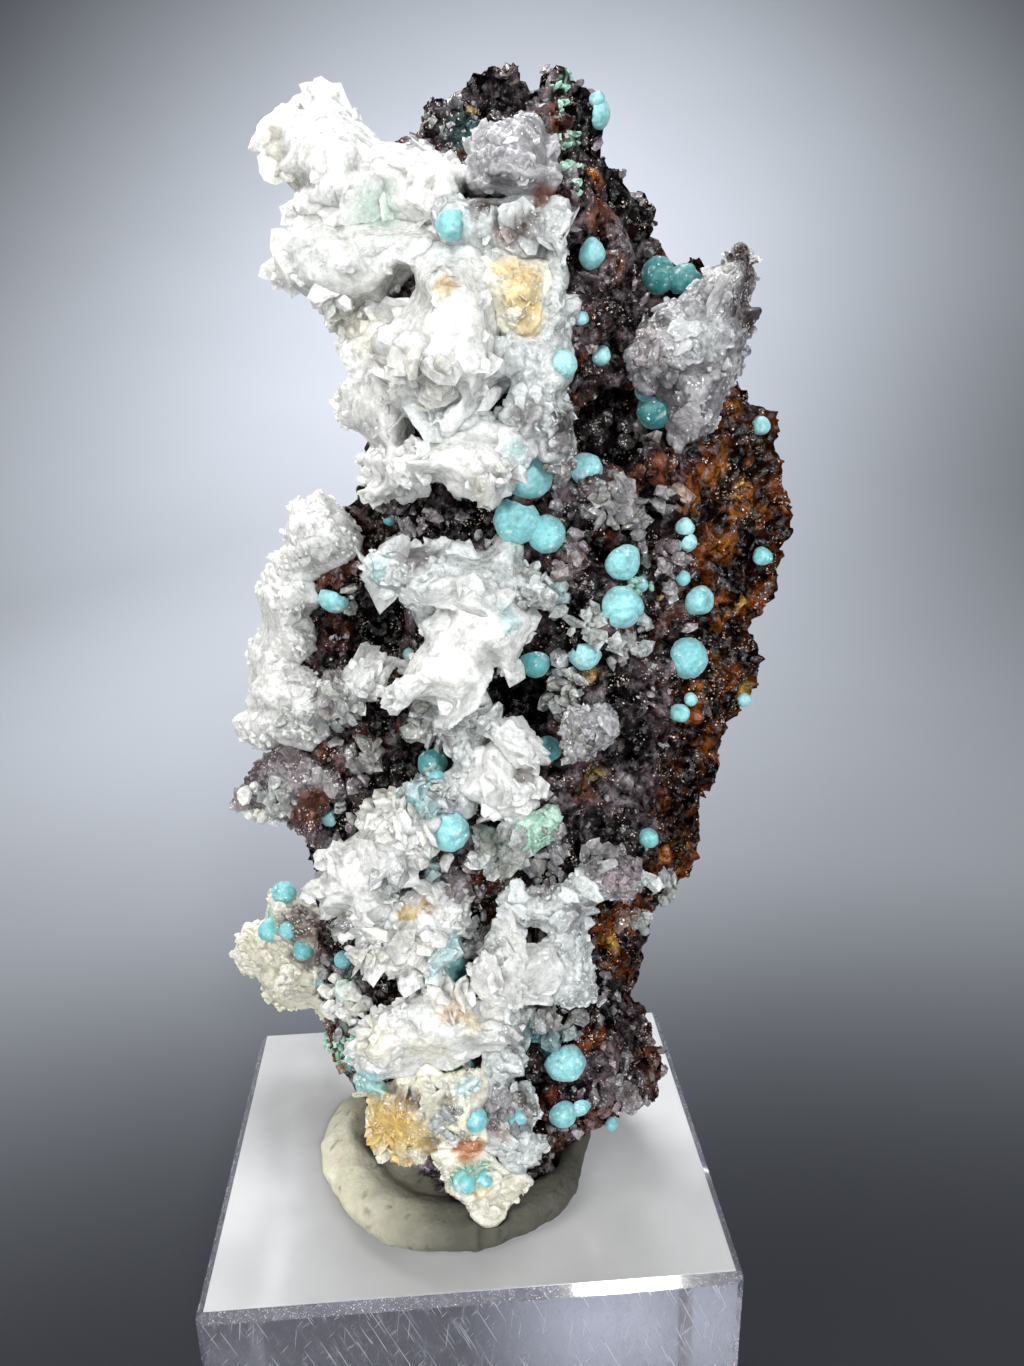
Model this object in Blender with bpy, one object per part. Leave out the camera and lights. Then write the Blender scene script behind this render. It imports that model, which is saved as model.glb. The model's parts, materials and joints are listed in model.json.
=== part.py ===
"""Aurichalcite and calcite on limonite rock, set in putty on a clear display block.

Lengths are millimetres until the last step, which writes metres. X runs to the right, Y away from
the viewer and Z up. The origin is the centre of the block's bottom face. The crystals' outlines are
points of the front view, (u, v) in a 1024 x 1366 frame with v running down, and each one is placed
on its line of sight from the viewpoint below.
"""

import math
import random
from collections import namedtuple

import bmesh
import bpy
from mathutils import Matrix, Vector, noise
from mathutils.bvhtree import BVHTree
from mathutils.geometry import delaunay_2d_cdt

MM = 0.001
GAP = 0.45

BLOCK_WIDTH = 31.75
BLOCK_DEPTH = 25.4
BLOCK_HEIGHT = 31.75
BLOCK_CHAMFER = 0.5

PUTTY_CENTRE = (-0.6, -1.5)
PUTTY_RADIUS = 9.0
PUTTY_RIM = 3.8
PUTTY_HEIGHT = 2.3
PUTTY_FLOOR = 0.8
PUTTY_LIFT = 0.3
PUTTY_STEPS = 30
PUTTY_SWELL = 0.05
PUTTY_DENT = 0.22

# Heights above the block's top at which the rock and the crystals are cut off inside the putty.
ROCK_FOOT = 1.3
CRYSTAL_FOOT = 0.8

EYE = Vector((-0.34, -57.48, 84.03))
YAW, PITCH, ROLL = 3.96, 18.69, 0.98
FOCAL = 1032.0
CENTRE_U, CENTRE_V = 512.0, 683.0
VIEW_PER_MM = 18.0

MATERIALS = {
    "acrylic": ((0.86, 0.89, 0.9), 0.25),
    "putty": ((0.62, 0.6, 0.52), 0.8),
    "limonite": ((0.12, 0.065, 0.04), 0.7),
    "druse": ((0.4, 0.36, 0.37), 0.35),
    "calcite_white": ((0.88, 0.88, 0.86), 0.5),
    "calcite_grey": ((0.6, 0.61, 0.62), 0.4),
    "calcite_stained": ((0.8, 0.66, 0.42), 0.5),
    "aurichalcite": ((0.29, 0.66, 0.68), 0.6),
    "rosasite": ((0.45, 0.72, 0.55), 0.7),
}

ROCK_OUTLINE = (
    (400, 137), (412, 125), (416, 104), (437, 95), (460, 78), (475, 73), (485, 61), (503, 62),
    (516, 58), (527, 73), (540, 76), (553, 65), (568, 71), (570, 85), (584, 84), (600, 104),
    (607, 128), (608, 142), (605, 152), (621, 163), (636, 196), (652, 202), (660, 212), (656, 240),
    (668, 250), (682, 258), (697, 255), (709, 266), (732, 300), (737, 382), (748, 390), (765, 408),
    (778, 413), (783, 422), (779, 458), (787, 475), (795, 495), (799, 510), (797, 540), (788, 552),
    (783, 575), (773, 612), (760, 628), (760, 648), (767, 658), (757, 684), (734, 716),
    (728, 738), (719, 750), (717, 792), (698, 814), (702, 836), (698, 860), (682, 880), (662, 904),
    (655, 922), (645, 955), (635, 990), (652, 1012),
    (658, 1025), (653, 1040), (670, 1068), (655, 1090), (620, 1120), (605, 1135), (580, 1142),
    (560, 1158), (555, 1170), (530, 1185), (505, 1210), (470, 1212), (440, 1188), (400, 1150),
    (345, 1085), (328, 1058), (322, 1020), (318, 930), (310, 880), (300, 840), (285, 800), (275, 760),
    (275, 700), (290, 650), (300, 600), (310, 560), (345, 500), (365, 470), (365, 420), (360, 360),
    (350, 310), (335, 250), (350, 190), (385, 160),
)

# The rock's front: a place in the view and the Y of the surface there.
ROCK_FRONT = (
    (430, 110, -0.5), (500, 75, -0.5), (545, 85, -3.0), (572, 110, -4.5), (600, 140, -1.5),
    (520, 160, -3.5), (572, 200, -6.2), (612, 240, -4.6), (645, 225, -2.0), (602, 300, -5.2),
    (572, 330, -6.6), (655, 290, 0.0), (735, 310, 0.0), (580, 400, -6.2), (700, 400, -2.0),
    (770, 430, 0.5), (795, 510, 2.5), (740, 500, -0.8), (700, 530, -2.8), (655, 470, -4.4),
    (600, 510, -5.8), (565, 570, -6.6), (610, 620, -6.5), (665, 600, -4.6), (720, 600, -2.6),
    (762, 600, 1.0), (640, 700, -6.0), (705, 700, -4.0), (745, 670, -1.0), (590, 720, -6.8),
    (560, 800, -7.2), (645, 800, -6.2), (700, 790, -3.4), (650, 880, -6.0), (565, 900, -7.5),
    (620, 940, -6.6), (600, 1010, -7.6), (650, 1040, -6.6), (560, 1090, -8.2), (620, 1100, -7.6),
    (500, 1150, -8.6), (430, 1110, -7.4), (380, 1050, -4.5), (350, 950, -2.5), (420, 910, -5.5),
    (480, 850, -6.8), (340, 790, -2.4), (420, 740, -4.4), (520, 690, -5.4), (380, 640, -2.4),
    (450, 600, -4.4), (380, 520, -2.4), (450, 480, -4.4), (320, 700, -0.6), (300, 800, 0.4),
    (400, 400, -3.2), (480, 300, -4.6), (430, 230, -2.6), (360, 250, 0.0),
)

# Caves (positive) and bumps (negative) of the rock: a place and radius in the view, and a depth.
ROCK_RELIEF = (
    (502, 100, 34, 4.0), (655, 282, 30, 2.5), (610, 425, 44, 3.4), (652, 528, 22, 3.4),
    (375, 525, 34, 2.6), (375, 625, 44, 2.8), (520, 690, 36, 3.0), (312, 812, 20, 2.4),
    (665, 625, 20, 1.6), (590, 825, 26, 1.8), (590, 950, 26, 1.5), (570, 1070, 22, 1.4),
    (745, 560, 26, 1.0), (705, 470, 30, 1.3), (500, 1090, 20, 1.8), (700, 620, 16, 1.0),
    (612, 525, 30, -1.3), (652, 468, 26, -1.0), (655, 555, 16, -0.9), (585, 620, 30, -0.8),
    (560, 690, 24, -1.0), (640, 745, 26, -0.8), (620, 985, 24, -0.8), (600, 300, 36, -0.8),
    (530, 770, 20, 1.2), (485, 925, 20, 1.4), (445, 410, 20, 1.2),
)
ROCK_BACK = 7.0
ROCK_LEAST = 0.5
ROCK_LUMP = 1.1
ROCK_GRAIN = 1.3
ROCK_FOOT_Y = -7.6
ROCK_FOOT_BACK = 4.0
ROCK_FOOT_STARTS = 900
ROCK_BACK_FACE = 120
ROCK_BACK_SLOPE = 0.4

# Sizes in the view of the faces and of the rounded rim, on the front and on the back.
ROCK_STEPS = (27, 56)
ROCK_RIMS = (60, 130)
ROCK_TEETH = 3
CRYSTAL_STEPS = (20, 48)
CRYSTAL_RIMS = (30, 30)
CRYSTAL_TEETH = 4
CRYSTAL_FACE = 32
CRYSTAL_BACK_FACE = 60
CRYSTAL_SLOPE = 0.25
CRYSTAL_BACK_SLOPE = 0.1

CRYSTAL_STAND = 0.4
BEHIND_ROCK = 3.0

# Angles, in degrees, below which two faces become one: the first that works is used.
ROCK_FLAT = (8, 4, 1)
CRYSTAL_FLAT = (20, 14, 10, 6, 3, 1)
BALL_FLAT = (12, 8, 4, 1)

Crystal = namedtuple("Crystal", "name slot depth turn lean front back outline")

CRYSTALS = (
    Crystal("calcite_flower", "calcite_white", -9.0, -5, 12, 2.0, 6.0, (
        (437, 595), (445, 587), (466, 580), (482, 578), (497, 590), (516, 600), (532, 613),
        (536, 624), (528, 644), (520, 652), (516, 676), (503, 678), (497, 664), (488, 670),
        (492, 680), (478, 694), (462, 706), (440, 700), (410, 701), (388, 706), (388, 694),
        (398, 680), (409, 655), (425, 642), (417, 622), (433, 616))),
    Crystal("calcite_lower_blade", "calcite_white", -9.0, 15, 5, 1.1, 6.0, (
        (484, 706), (500, 714), (516, 722), (528, 738), (540, 750), (532, 772), (515, 766),
        (500, 748), (481, 726))),
    Crystal("calcite_lower_plate", "calcite_white", -8.8, -5, 10, 1.5, 6.0, (
        (478, 745), (497, 742), (503, 756), (518, 768), (530, 776), (543, 790), (533, 803),
        (524, 818), (500, 823), (482, 806), (464, 798), (470, 774))),
    Crystal("calcite_cascade", "calcite_white", -9.0, 5, 8, 1.8, 6.0, (
        (468, 962), (488, 950), (502, 934), (516, 931), (530, 945), (545, 938), (556, 956),
        (564, 974), (556, 988), (540, 1001), (520, 1008), (492, 1006), (478, 998), (470, 986))),
    Crystal("calcite_shelf", "calcite_white", -8.0, -5, 25, 2.2, 7.0, (
        (402, 446), (428, 440), (450, 434), (480, 423), (504, 425), (532, 437), (540, 456),
        (512, 474), (505, 494), (480, 499), (452, 497), (434, 480), (412, 484), (396, 466))),
    Crystal("calcite_shelf_wedge", "calcite_grey", -7.2, 0, 25, 1.1, 5.0, (
        (404, 384), (432, 394), (462, 405), (492, 412), (503, 424), (480, 430), (462, 438),
        (432, 424), (408, 408))),
    Crystal("calcite_centre_boss", "calcite_white", -6.6, -8, 8, 3.8, 6.0, (
        (410, 264), (438, 246), (452, 250), (470, 244), (486, 258), (490, 290), (498, 320),
        (500, 366), (492, 388), (484, 400), (468, 409), (448, 404), (436, 396), (424, 386),
        (395, 379), (378, 356), (370, 338), (390, 322), (403, 302), (412, 288))),
    Crystal("calcite_stained_face", "calcite_stained", -6.8, 10, 5, 1.6, 5.0, (
        (482, 272), (502, 262), (530, 256), (549, 262), (558, 284), (546, 302), (548, 320),
        (538, 342), (512, 340), (492, 330))),
    Crystal("calcite_ridge_column", "calcite_grey", -7.2, 15, 0, 1.4, 5.0, (
        (550, 200), (568, 204), (564, 290), (576, 340), (568, 392), (578, 450), (566, 478),
        (546, 470), (538, 442), (500, 418), (508, 376), (498, 344), (538, 332), (546, 300),
        (554, 280))),
    Crystal("calcite_collar", "calcite_grey", -5.6, 5, 10, 1.8, 5.0, (
        (438, 200), (470, 194), (505, 200), (522, 192), (552, 196), (552, 262), (530, 268),
        (500, 272), (482, 268), (470, 252), (446, 246), (432, 226))),
    Crystal("calcite_grey_crown", "calcite_grey", -4.8, 5, 15, 2.2, 6.0, (
        (463, 140), (476, 136), (484, 124), (498, 119), (520, 114), (534, 115), (548, 134),
        (558, 146), (556, 164), (563, 182), (552, 194), (530, 198), (510, 191), (478, 187),
        (470, 166))),
    Crystal("calcite_second_fan", "calcite_white", -2.0, -12, 0, 4.2, 6.0, (
        (292, 222), (320, 214), (352, 213), (402, 219), (432, 228), (448, 240), (436, 254),
        (416, 266), (398, 286), (390, 304), (368, 308), (350, 326), (336, 322), (318, 304),
        (297, 296), (282, 280), (275, 262), (281, 254), (274, 245), (287, 236))),
    Crystal("calcite_top_fan", "calcite_white", -0.6, -15, 5, 3.5, 6.0, (
        (269, 130), (277, 120), (278, 108), (290, 103), (301, 108), (305, 94), (315, 90),
        (340, 101), (366, 121), (386, 138), (424, 143), (434, 153), (462, 163), (471, 180),
        (462, 192), (446, 202), (440, 222), (400, 226), (350, 226), (304, 228), (288, 208),
        (297, 190), (284, 178), (270, 166), (280, 157), (270, 146))),
    Crystal("calcite_left_ruffle", "calcite_white", -3.4, -15, 5, 2.8, 6.0, (
        (342, 318), (372, 300), (400, 310), (392, 350), (404, 385), (416, 400), (412, 440),
        (420, 470), (408, 502), (384, 500), (372, 504), (361, 494), (377, 482), (366, 470),
        (356, 458), (369, 446), (358, 434), (336, 426), (332, 404), (336, 386), (348, 374),
        (350, 360), (340, 348))),
    Crystal("calcite_left_knob", "calcite_white", -0.4, -10, 5, 3.0, 6.0, (
        (281, 530), (288, 515), (290, 500), (300, 495), (312, 500), (318, 489), (328, 492),
        (334, 500), (352, 516), (362, 538), (358, 556), (326, 572), (296, 582), (276, 574),
        (274, 556), (284, 546))),
    Crystal("calcite_left_wall", "calcite_white", 1.0, -15, 5, 3.4, 6.0, (
        (268, 566), (292, 562), (318, 574), (322, 598), (306, 616), (318, 632), (318, 652),
        (302, 664), (320, 678), (334, 702), (330, 734), (310, 752), (284, 742), (262, 753),
        (246, 744), (232, 721), (250, 705), (245, 680), (249, 664), (247, 646), (260, 622),
        (256, 590))),
    Crystal("calcite_left_blade", "calcite_white", -5.0, -5, 30, 1.5, 6.0, (
        (316, 686), (328, 672), (352, 660), (370, 654), (388, 648), (388, 664), (380, 690),
        (364, 708), (340, 717), (321, 704))),
    Crystal("calcite_middle_plates", "calcite_grey", -6.4, 0, 30, 1.7, 6.0, (
        (360, 562), (372, 552), (400, 550), (430, 540), (460, 542), (484, 550), (502, 538),
        (518, 542), (526, 562), (548, 578), (574, 600), (552, 608), (520, 606), (480, 600),
        (440, 604), (430, 614), (408, 612), (400, 594), (384, 593), (364, 580))),
    Crystal("calcite_lower_wedges", "calcite_grey", -7.0, -5, 15, 1.4, 5.0, (
        (438, 704), (462, 700), (490, 704), (500, 722), (490, 742), (478, 762), (470, 790),
        (476, 812), (450, 822), (424, 812), (404, 806), (404, 786), (430, 772), (452, 764),
        (446, 744), (452, 728), (436, 718))),
    Crystal("calcite_lower_fan", "calcite_white", -6.8, -12, 8, 3.0, 6.5, (
        (360, 828), (368, 812), (380, 805), (400, 800), (424, 804), (452, 815), (456, 836),
        (430, 856), (414, 872), (394, 892), (386, 916), (376, 940), (360, 941), (346, 936),
        (339, 919), (324, 917), (318, 903), (302, 894), (301, 887), (320, 880), (322, 866),
        (328, 850), (344, 842))),
    Crystal("calcite_small_crystals", "calcite_white", -7.0, 0, 8, 1.4, 5.0, (
        (390, 908), (404, 888), (424, 884), (448, 884), (469, 890), (474, 908), (468, 926),
        (460, 940), (462, 958), (440, 978), (414, 978), (384, 968), (350, 966), (350, 950),
        (376, 938))),
    Crystal("calcite_right_sheet", "calcite_grey", -8.2, 8, 5, 1.5, 5.0, (
        (496, 894), (512, 884), (545, 888), (562, 880), (582, 864), (612, 868), (648, 868),
        (652, 886), (630, 896), (602, 905), (586, 916), (592, 945), (600, 975), (598, 1002),
        (570, 1010), (548, 1004), (560, 976), (562, 955), (546, 932), (520, 929), (500, 918))),
    Crystal("calcite_foot_mass", "calcite_white", -8.0, -10, 8, 2.8, 6.5, (
        (343, 1062), (347, 1046), (357, 1030), (366, 1014), (388, 999), (410, 990), (430, 984),
        (456, 992), (478, 1000), (505, 1000), (522, 1010), (520, 1032), (500, 1049),
        (480, 1049), (472, 1062), (448, 1069), (430, 1066), (405, 1076), (370, 1080))),
    Crystal("calcite_foot_right", "calcite_grey", -8.8, 5, 5, 1.3, 4.0, (
        (482, 1056), (500, 1050), (520, 1048), (532, 1062), (514, 1080), (536, 1090),
        (543, 1112), (532, 1130), (550, 1140), (541, 1160), (520, 1172), (503, 1166),
        (488, 1144), (486, 1110), (492, 1085))),
    Crystal("calcite_foot_ochre", "calcite_stained", -8.2, -8, 0, 1.8, 5.0, (
        (351, 1076), (386, 1082), (420, 1074), (450, 1074), (484, 1070), (492, 1110),
        (492, 1146), (462, 1154), (430, 1154), (426, 1166), (398, 1166), (380, 1152),
        (384, 1139), (367, 1131), (364, 1108), (378, 1098), (358, 1090))),
    Crystal("calcite_foot_tip", "calcite_white", -9.2, 0, 0, 0.9, 2.4, (
        (430, 1154), (450, 1150), (480, 1148), (500, 1162), (516, 1174), (536, 1180),
        (520, 1196), (506, 1212), (497, 1226), (487, 1228), (470, 1213), (452, 1197),
        (438, 1178))),
    Crystal("calcite_back_cluster", "calcite_white", 7.0, -10, 0, 3.5, 5.0, (
        (234, 936), (245, 924), (262, 918), (264, 904), (270, 892), (284, 886), (298, 893),
        (325, 905), (345, 925), (354, 960), (366, 980), (360, 1000), (352, 1018), (336, 1031),
        (320, 1020), (310, 1010), (290, 1014), (262, 1002), (258, 980), (240, 975),
        (234, 956))),
    Crystal("druse_right_blade", "druse", -3.4, 8, 0, 2.2, 5.0, (
        (624, 354), (632, 341), (646, 338), (656, 325), (650, 314), (660, 304), (678, 297),
        (690, 286), (708, 268), (729, 260), (732, 250), (745, 239), (753, 258), (759, 282),
        (753, 302), (757, 328), (746, 350), (746, 368), (734, 386), (726, 400), (724, 416),
        (700, 439), (682, 442), (672, 424), (668, 400), (644, 384), (630, 370))),
    Crystal("druse_left_lumps", "druse", -1.0, -8, 5, 2.2, 5.0, (
        (248, 776), (256, 762), (274, 746), (290, 744), (312, 754), (326, 772), (344, 776),
        (348, 796), (328, 802), (318, 842), (300, 838), (284, 820), (262, 815), (244, 811),
        (233, 801), (243, 792), (256, 790))),
    Crystal("druse_grey_lump", "druse", -8.6, 5, 10, 1.6, 5.0, (
        (560, 745), (560, 720), (572, 706), (604, 701), (617, 716), (614, 740), (592, 760),
        (570, 762))),
    Crystal("rosasite_mass", "rosasite", -8.4, 5, 10, 1.3, 5.0, (
        (500, 836), (510, 822), (530, 812), (545, 805), (560, 801), (567, 816), (562, 833),
        (547, 846), (530, 860), (514, 862))),
)

# Balls grown together are one node: each ball is (u, v, radius), all measured in the view.
BALLS = {
    "aurichalcite_ball_top": ((594, 114, 14),),
    "aurichalcite_ball_ridge": ((589, 253, 14),),
    "aurichalcite_pair_hollow": ((657, 276, 17), (685, 280, 15)),
    "aurichalcite_ball_boss": ((503, 381, 13),),
    "aurichalcite_ball_pale": ((561, 364, 15),),
    "aurichalcite_pair_cave": ((657, 407, 19), (648, 384, 15)),
    "aurichalcite_ball_shelf": ((527, 473, 25),),
    "aurichalcite_ball_shelf_right": ((586, 471, 18),),
    "aurichalcite_pair_middle": ((516, 520, 25), (546, 535, 20)),
    "aurichalcite_ball_upper_right": ((621, 561, 19),),
    "aurichalcite_pair_right": ((621, 607, 21), (632, 636, 16)),
    "aurichalcite_ball_far_right": ((698, 600, 15),),
    "aurichalcite_ball_bright": ((687, 658, 21),),
    "aurichalcite_pair_white": ((686, 527, 9), (687, 542, 10)),
    "aurichalcite_ball_crusted": ((586, 652, 17),),
    "aurichalcite_ball_flower": ((535, 661, 16),),
    "aurichalcite_ball_left": ((333, 598, 15),),
    "aurichalcite_ball_blade": ((549, 748, 14),),
    "aurichalcite_ball_dark": ((432, 762, 16),),
    "aurichalcite_pair_fan": ((448, 830, 20), (431, 864, 12)),
    "aurichalcite_ball_lower": ((452, 965, 17),),
    "aurichalcite_pair_foot": ((543, 1040, 19), (564, 1060, 20)),
    "aurichalcite_ball_foot_left": ((462, 1072, 15),),
    "aurichalcite_ball_foot": ((474, 1118, 12),),
    "aurichalcite_pair_foot_right": ((561, 1112, 14), (579, 1104, 11)),
    "aurichalcite_ball_collar": ((452, 224, 14),),
}
BALL_STAND = 0.5
BALL_LUMP = 0.16


def view_axes():
    """Return the right, down and forward directions of the front view."""
    yaw, pitch, roll = (math.radians(angle) for angle in (YAW, PITCH, ROLL))
    forward = Vector((
        math.sin(yaw) * math.cos(pitch), math.cos(yaw) * math.cos(pitch), -math.sin(pitch)))
    level = Vector((math.cos(yaw), -math.sin(yaw), 0))
    below = forward.cross(level)
    right = level * math.cos(roll) + below * math.sin(roll)
    down = below * math.cos(roll) - level * math.sin(roll)
    return right, down, forward


RIGHT, DOWN, FORWARD = view_axes()


def sight(u, v):
    """Return the direction from the viewpoint through a place in the view."""
    across = RIGHT * ((u - CENTRE_U) / FOCAL)
    along = DOWN * ((v - CENTRE_V) / FOCAL)
    return (FORWARD + across + along).normalized()


def at_depth(u, v, y):
    """Return the point on a line of sight that lies at depth y."""
    ray = sight(u, v)
    return EYE + ray * ((y - EYE.y) / ray.y)


def resampled(outline, step):
    """Split each side of a closed outline into parts no longer than the step."""
    points = []
    for start, end in zip(outline, outline[1:] + outline[:1]):
        parts = max(1, round(math.dist(start, end) / step))
        for part in range(parts):
            share = part / parts
            points.append(Vector(start).lerp(Vector(end), share))
    return points


def inside(point, loop):
    """Tell whether a point lies inside a closed loop."""
    hit = False
    for start, end in zip(loop, loop[1:] + loop[:1]):
        if (start.y > point.y) != (end.y > point.y):
            crossing = start.x + (point.y - start.y) * (end.x - start.x) / (end.y - start.y)
            if point.x < crossing:
                hit = not hit
    return hit


def rim_distance(point, loop):
    """Return the distance from a point to the nearest side of a closed loop."""
    nearest = math.inf
    for start, end in zip(loop, loop[1:] + loop[:1]):
        side = end - start
        share = max(0.0, min(1.0, (point - start).dot(side) / max(side.length_squared, 1e-9)))
        nearest = min(nearest, (point - start - side * share).length)
    return nearest


def outward(loop):
    """Return the outward direction at each point of a closed loop."""
    area = sum(a.cross(b) for a, b in zip(loop, loop[1:] + loop[:1]))
    turn = 1 if area > 0 else -1
    directions = []
    for index in range(len(loop)):
        side = loop[(index + 1) % len(loop)] - loop[index - 1]
        directions.append(Vector((side.y, -side.x)).normalized() * turn)
    return directions


def inner_points(loop, step, chance):
    """Return a jittered triangular grid of points inside a loop, clear of its rim."""
    low_u, high_u = min(p.x for p in loop), max(p.x for p in loop)
    low_v, high_v = min(p.y for p in loop), max(p.y for p in loop)
    points = []
    row_height = step * math.sqrt(3) / 2
    for row in range(int((high_v - low_v) / row_height) + 1):
        for column in range(int((high_u - low_u) / step) + 2):
            shift = 0.5 * (row % 2)
            point = Vector((low_u + (column - shift) * step, low_v + (row + 0.5) * row_height))
            point += Vector((chance.uniform(-1, 1), chance.uniform(-1, 1))) * step * 0.24
            if inside(point, loop) and rim_distance(point, loop) > step * 0.5:
                points.append(point)
    return points


def triangles(loop, inner):
    """Triangulate a loop and its inner points, which gain one on each edge from rim to rim."""
    rim = len(loop)
    while True:
        points = loop + inner
        result = delaunay_2d_cdt(points, [], [list(range(rim))], 1, 1e-4)
        numbers = [origins[0] for origins in result[3]]
        faces = [[numbers[corner] for corner in face] for face in result[2]]
        chords = set()
        for face in faces:
            for start, end in zip(face, face[1:] + face[:1]):
                if max(start, end) < rim and (end - start) % rim not in (1, rim - 1):
                    chords.add((min(start, end), max(start, end)))
        if not chords:
            return faces
        for start, end in sorted(chords):
            inner.append((loop[start] + loop[end]) / 2)


def new_object(name, mesh_data, slot=None, smooth=False):
    """Add a mesh object, with its material and shading."""
    mesh = bpy.data.meshes.new(name)
    mesh_data.to_mesh(mesh)
    mesh_data.free()
    thing = bpy.data.objects.new(name, mesh)
    bpy.context.scene.collection.objects.link(thing)
    if slot:
        mesh.materials.append(material(slot))
    if smooth:
        mesh.shade_smooth()
    return thing


def material(slot):
    """Return the slot's material, made on first use."""
    if slot in bpy.data.materials:
        return bpy.data.materials[slot]
    colour, roughness = MATERIALS[slot]
    made = bpy.data.materials.new(slot)
    made.use_nodes = True
    shader = made.node_tree.nodes["Principled BSDF"]
    shader.inputs["Base Color"].default_value = (*colour, 1)
    shader.inputs["Roughness"].default_value = roughness
    return made


def sheet_solid(loop, sheets, base, grow):
    """Close two sheets on their shared rim, each point kept on its line of sight.

    Each sheet is its inner points, its triangles, its thickness, the width over which it rises
    from the rim and its side, 1 towards the viewer.
    """
    grow_view = grow * VIEW_PER_MM
    rim_loop = [point + away * grow_view for point, away in zip(loop, outward(loop))]
    body = bmesh.new()
    rim_verts = [body.verts.new(base(point.x, point.y)) for point in rim_loop]
    for inner, faces, thickness, rim, side in sheets:
        verts = list(rim_verts)
        for point in inner:
            reach = min(1.0, (rim_distance(point, loop) + grow_view) / rim)
            height = math.sqrt(1 - (1 - reach) ** 2)
            lift = thickness(point.x, point.y) * height + grow
            ray = sight(point.x, point.y)
            verts.append(body.verts.new(base(point.x, point.y) - ray * lift * side))
        for face in faces:
            body.faces.new([verts[corner] for corner in face])
    bmesh.ops.recalc_face_normals(body, faces=body.faces)
    if body.calc_volume(signed=True) < 0:
        bmesh.ops.reverse_faces(body, faces=body.faces)
    return body


def pillow(name, slot, outline, base, front, back, steps, rims, teeth, seed):
    """Build a solid from its outline in the view, and a twin of it that is larger by the gap."""
    chance = random.Random(seed)
    front_step, back_step = steps
    front_rim, back_rim = rims
    loop = resampled(outline, front_step)
    for point, away in zip(loop, outward(loop)):
        point -= away * chance.uniform(0, teeth)
    sheets = []
    for thickness, step, rim, side in (
            (front, front_step, front_rim, 1), (back, back_step, back_rim, -1)):
        inner = inner_points(loop, step, chance)
        sheets.append((inner, triangles(loop, inner), thickness, rim, side))
    solid = new_object(name, sheet_solid(loop, sheets, base, 0.0), slot)
    twin = new_object(name + "_clearance", sheet_solid(loop, sheets, base, GAP))
    twin.hide_render = True
    twin.display_type = "WIRE"
    return solid, twin


def tilted_sheet(outline, depth, turn, lean):
    """Return the function that places a view point on a flat sheet turned and leant back."""
    centre_u = sum(point[0] for point in outline) / len(outline)
    centre_v = sum(point[1] for point in outline) / len(outline)
    centre = at_depth(centre_u, centre_v, depth)
    turn_angle, lean_angle = math.radians(turn), math.radians(lean)
    normal = Vector((
        math.sin(turn_angle) * math.cos(lean_angle),
        -math.cos(turn_angle) * math.cos(lean_angle),
        math.sin(lean_angle)))

    def base(u, v):
        ray = sight(u, v)
        return EYE + ray * ((centre - EYE).dot(normal) / ray.dot(normal))

    return base


def facets(height, outline, seed, size, slope):
    """Return a thickness broken into flat crystal faces of about the given size in the view."""
    chance = random.Random(seed)
    low_u, high_u = min(p[0] for p in outline), max(p[0] for p in outline)
    low_v, high_v = min(p[1] for p in outline), max(p[1] for p in outline)
    count = max(4, round((high_u - low_u) * (high_v - low_v) / size ** 2))
    sites = []
    for _ in range(count):
        place = Vector((chance.uniform(low_u, high_u), chance.uniform(low_v, high_v)))
        tilt = Vector((chance.uniform(-slope, slope), chance.uniform(-slope, slope)))
        sites.append((place, tilt, chance.uniform(0.72, 1.1)))

    def thickness(u, v):
        point = Vector((u, v))
        place, tilt, share = min(sites, key=lambda site: (site[0] - point).length)
        return max(0.3, height * share + tilt.dot(point - place) / VIEW_PER_MM)

    return thickness


def rock_middle(u, v):
    """Return the point on the rock's middle sheet, which comes forward at its foot."""
    top_y = 1.0 + 4.0 * math.exp(-((u - 320) ** 2 + (v - 960) ** 2) / 90 ** 2)
    foot = max(0.0, min(1.0, (v - ROCK_FOOT_STARTS) / 300))
    return at_depth(u, v, top_y + (ROCK_FOOT_Y - top_y) * foot * foot)


def rock_front_y(u, v):
    """Return the Y of the rock's front face, from the marks near the place and the pits."""
    total = weight_sum = 0.0
    for mark_u, mark_v, mark_y in ROCK_FRONT:
        weight = 1 / ((u - mark_u) ** 2 + (v - mark_v) ** 2 + 300) ** 1.6
        total += mark_y * weight
        weight_sum += weight
    y = total / weight_sum
    for centre_u, centre_v, radius, depth in ROCK_RELIEF:
        distance = math.hypot(u - centre_u, v - centre_v) / radius
        y += depth * math.exp(-distance ** 4)
    return y


def rock_roughness(u, v, seed):
    """Return the rock's lumps and broken grain at a place in the view."""
    lump = noise.noise(Vector((u / 75, v / 75, seed)))
    grain = noise.noise(Vector((u / 26, v / 26, seed + 5)))
    return ROCK_LUMP * lump + ROCK_GRAIN * grain


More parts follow.
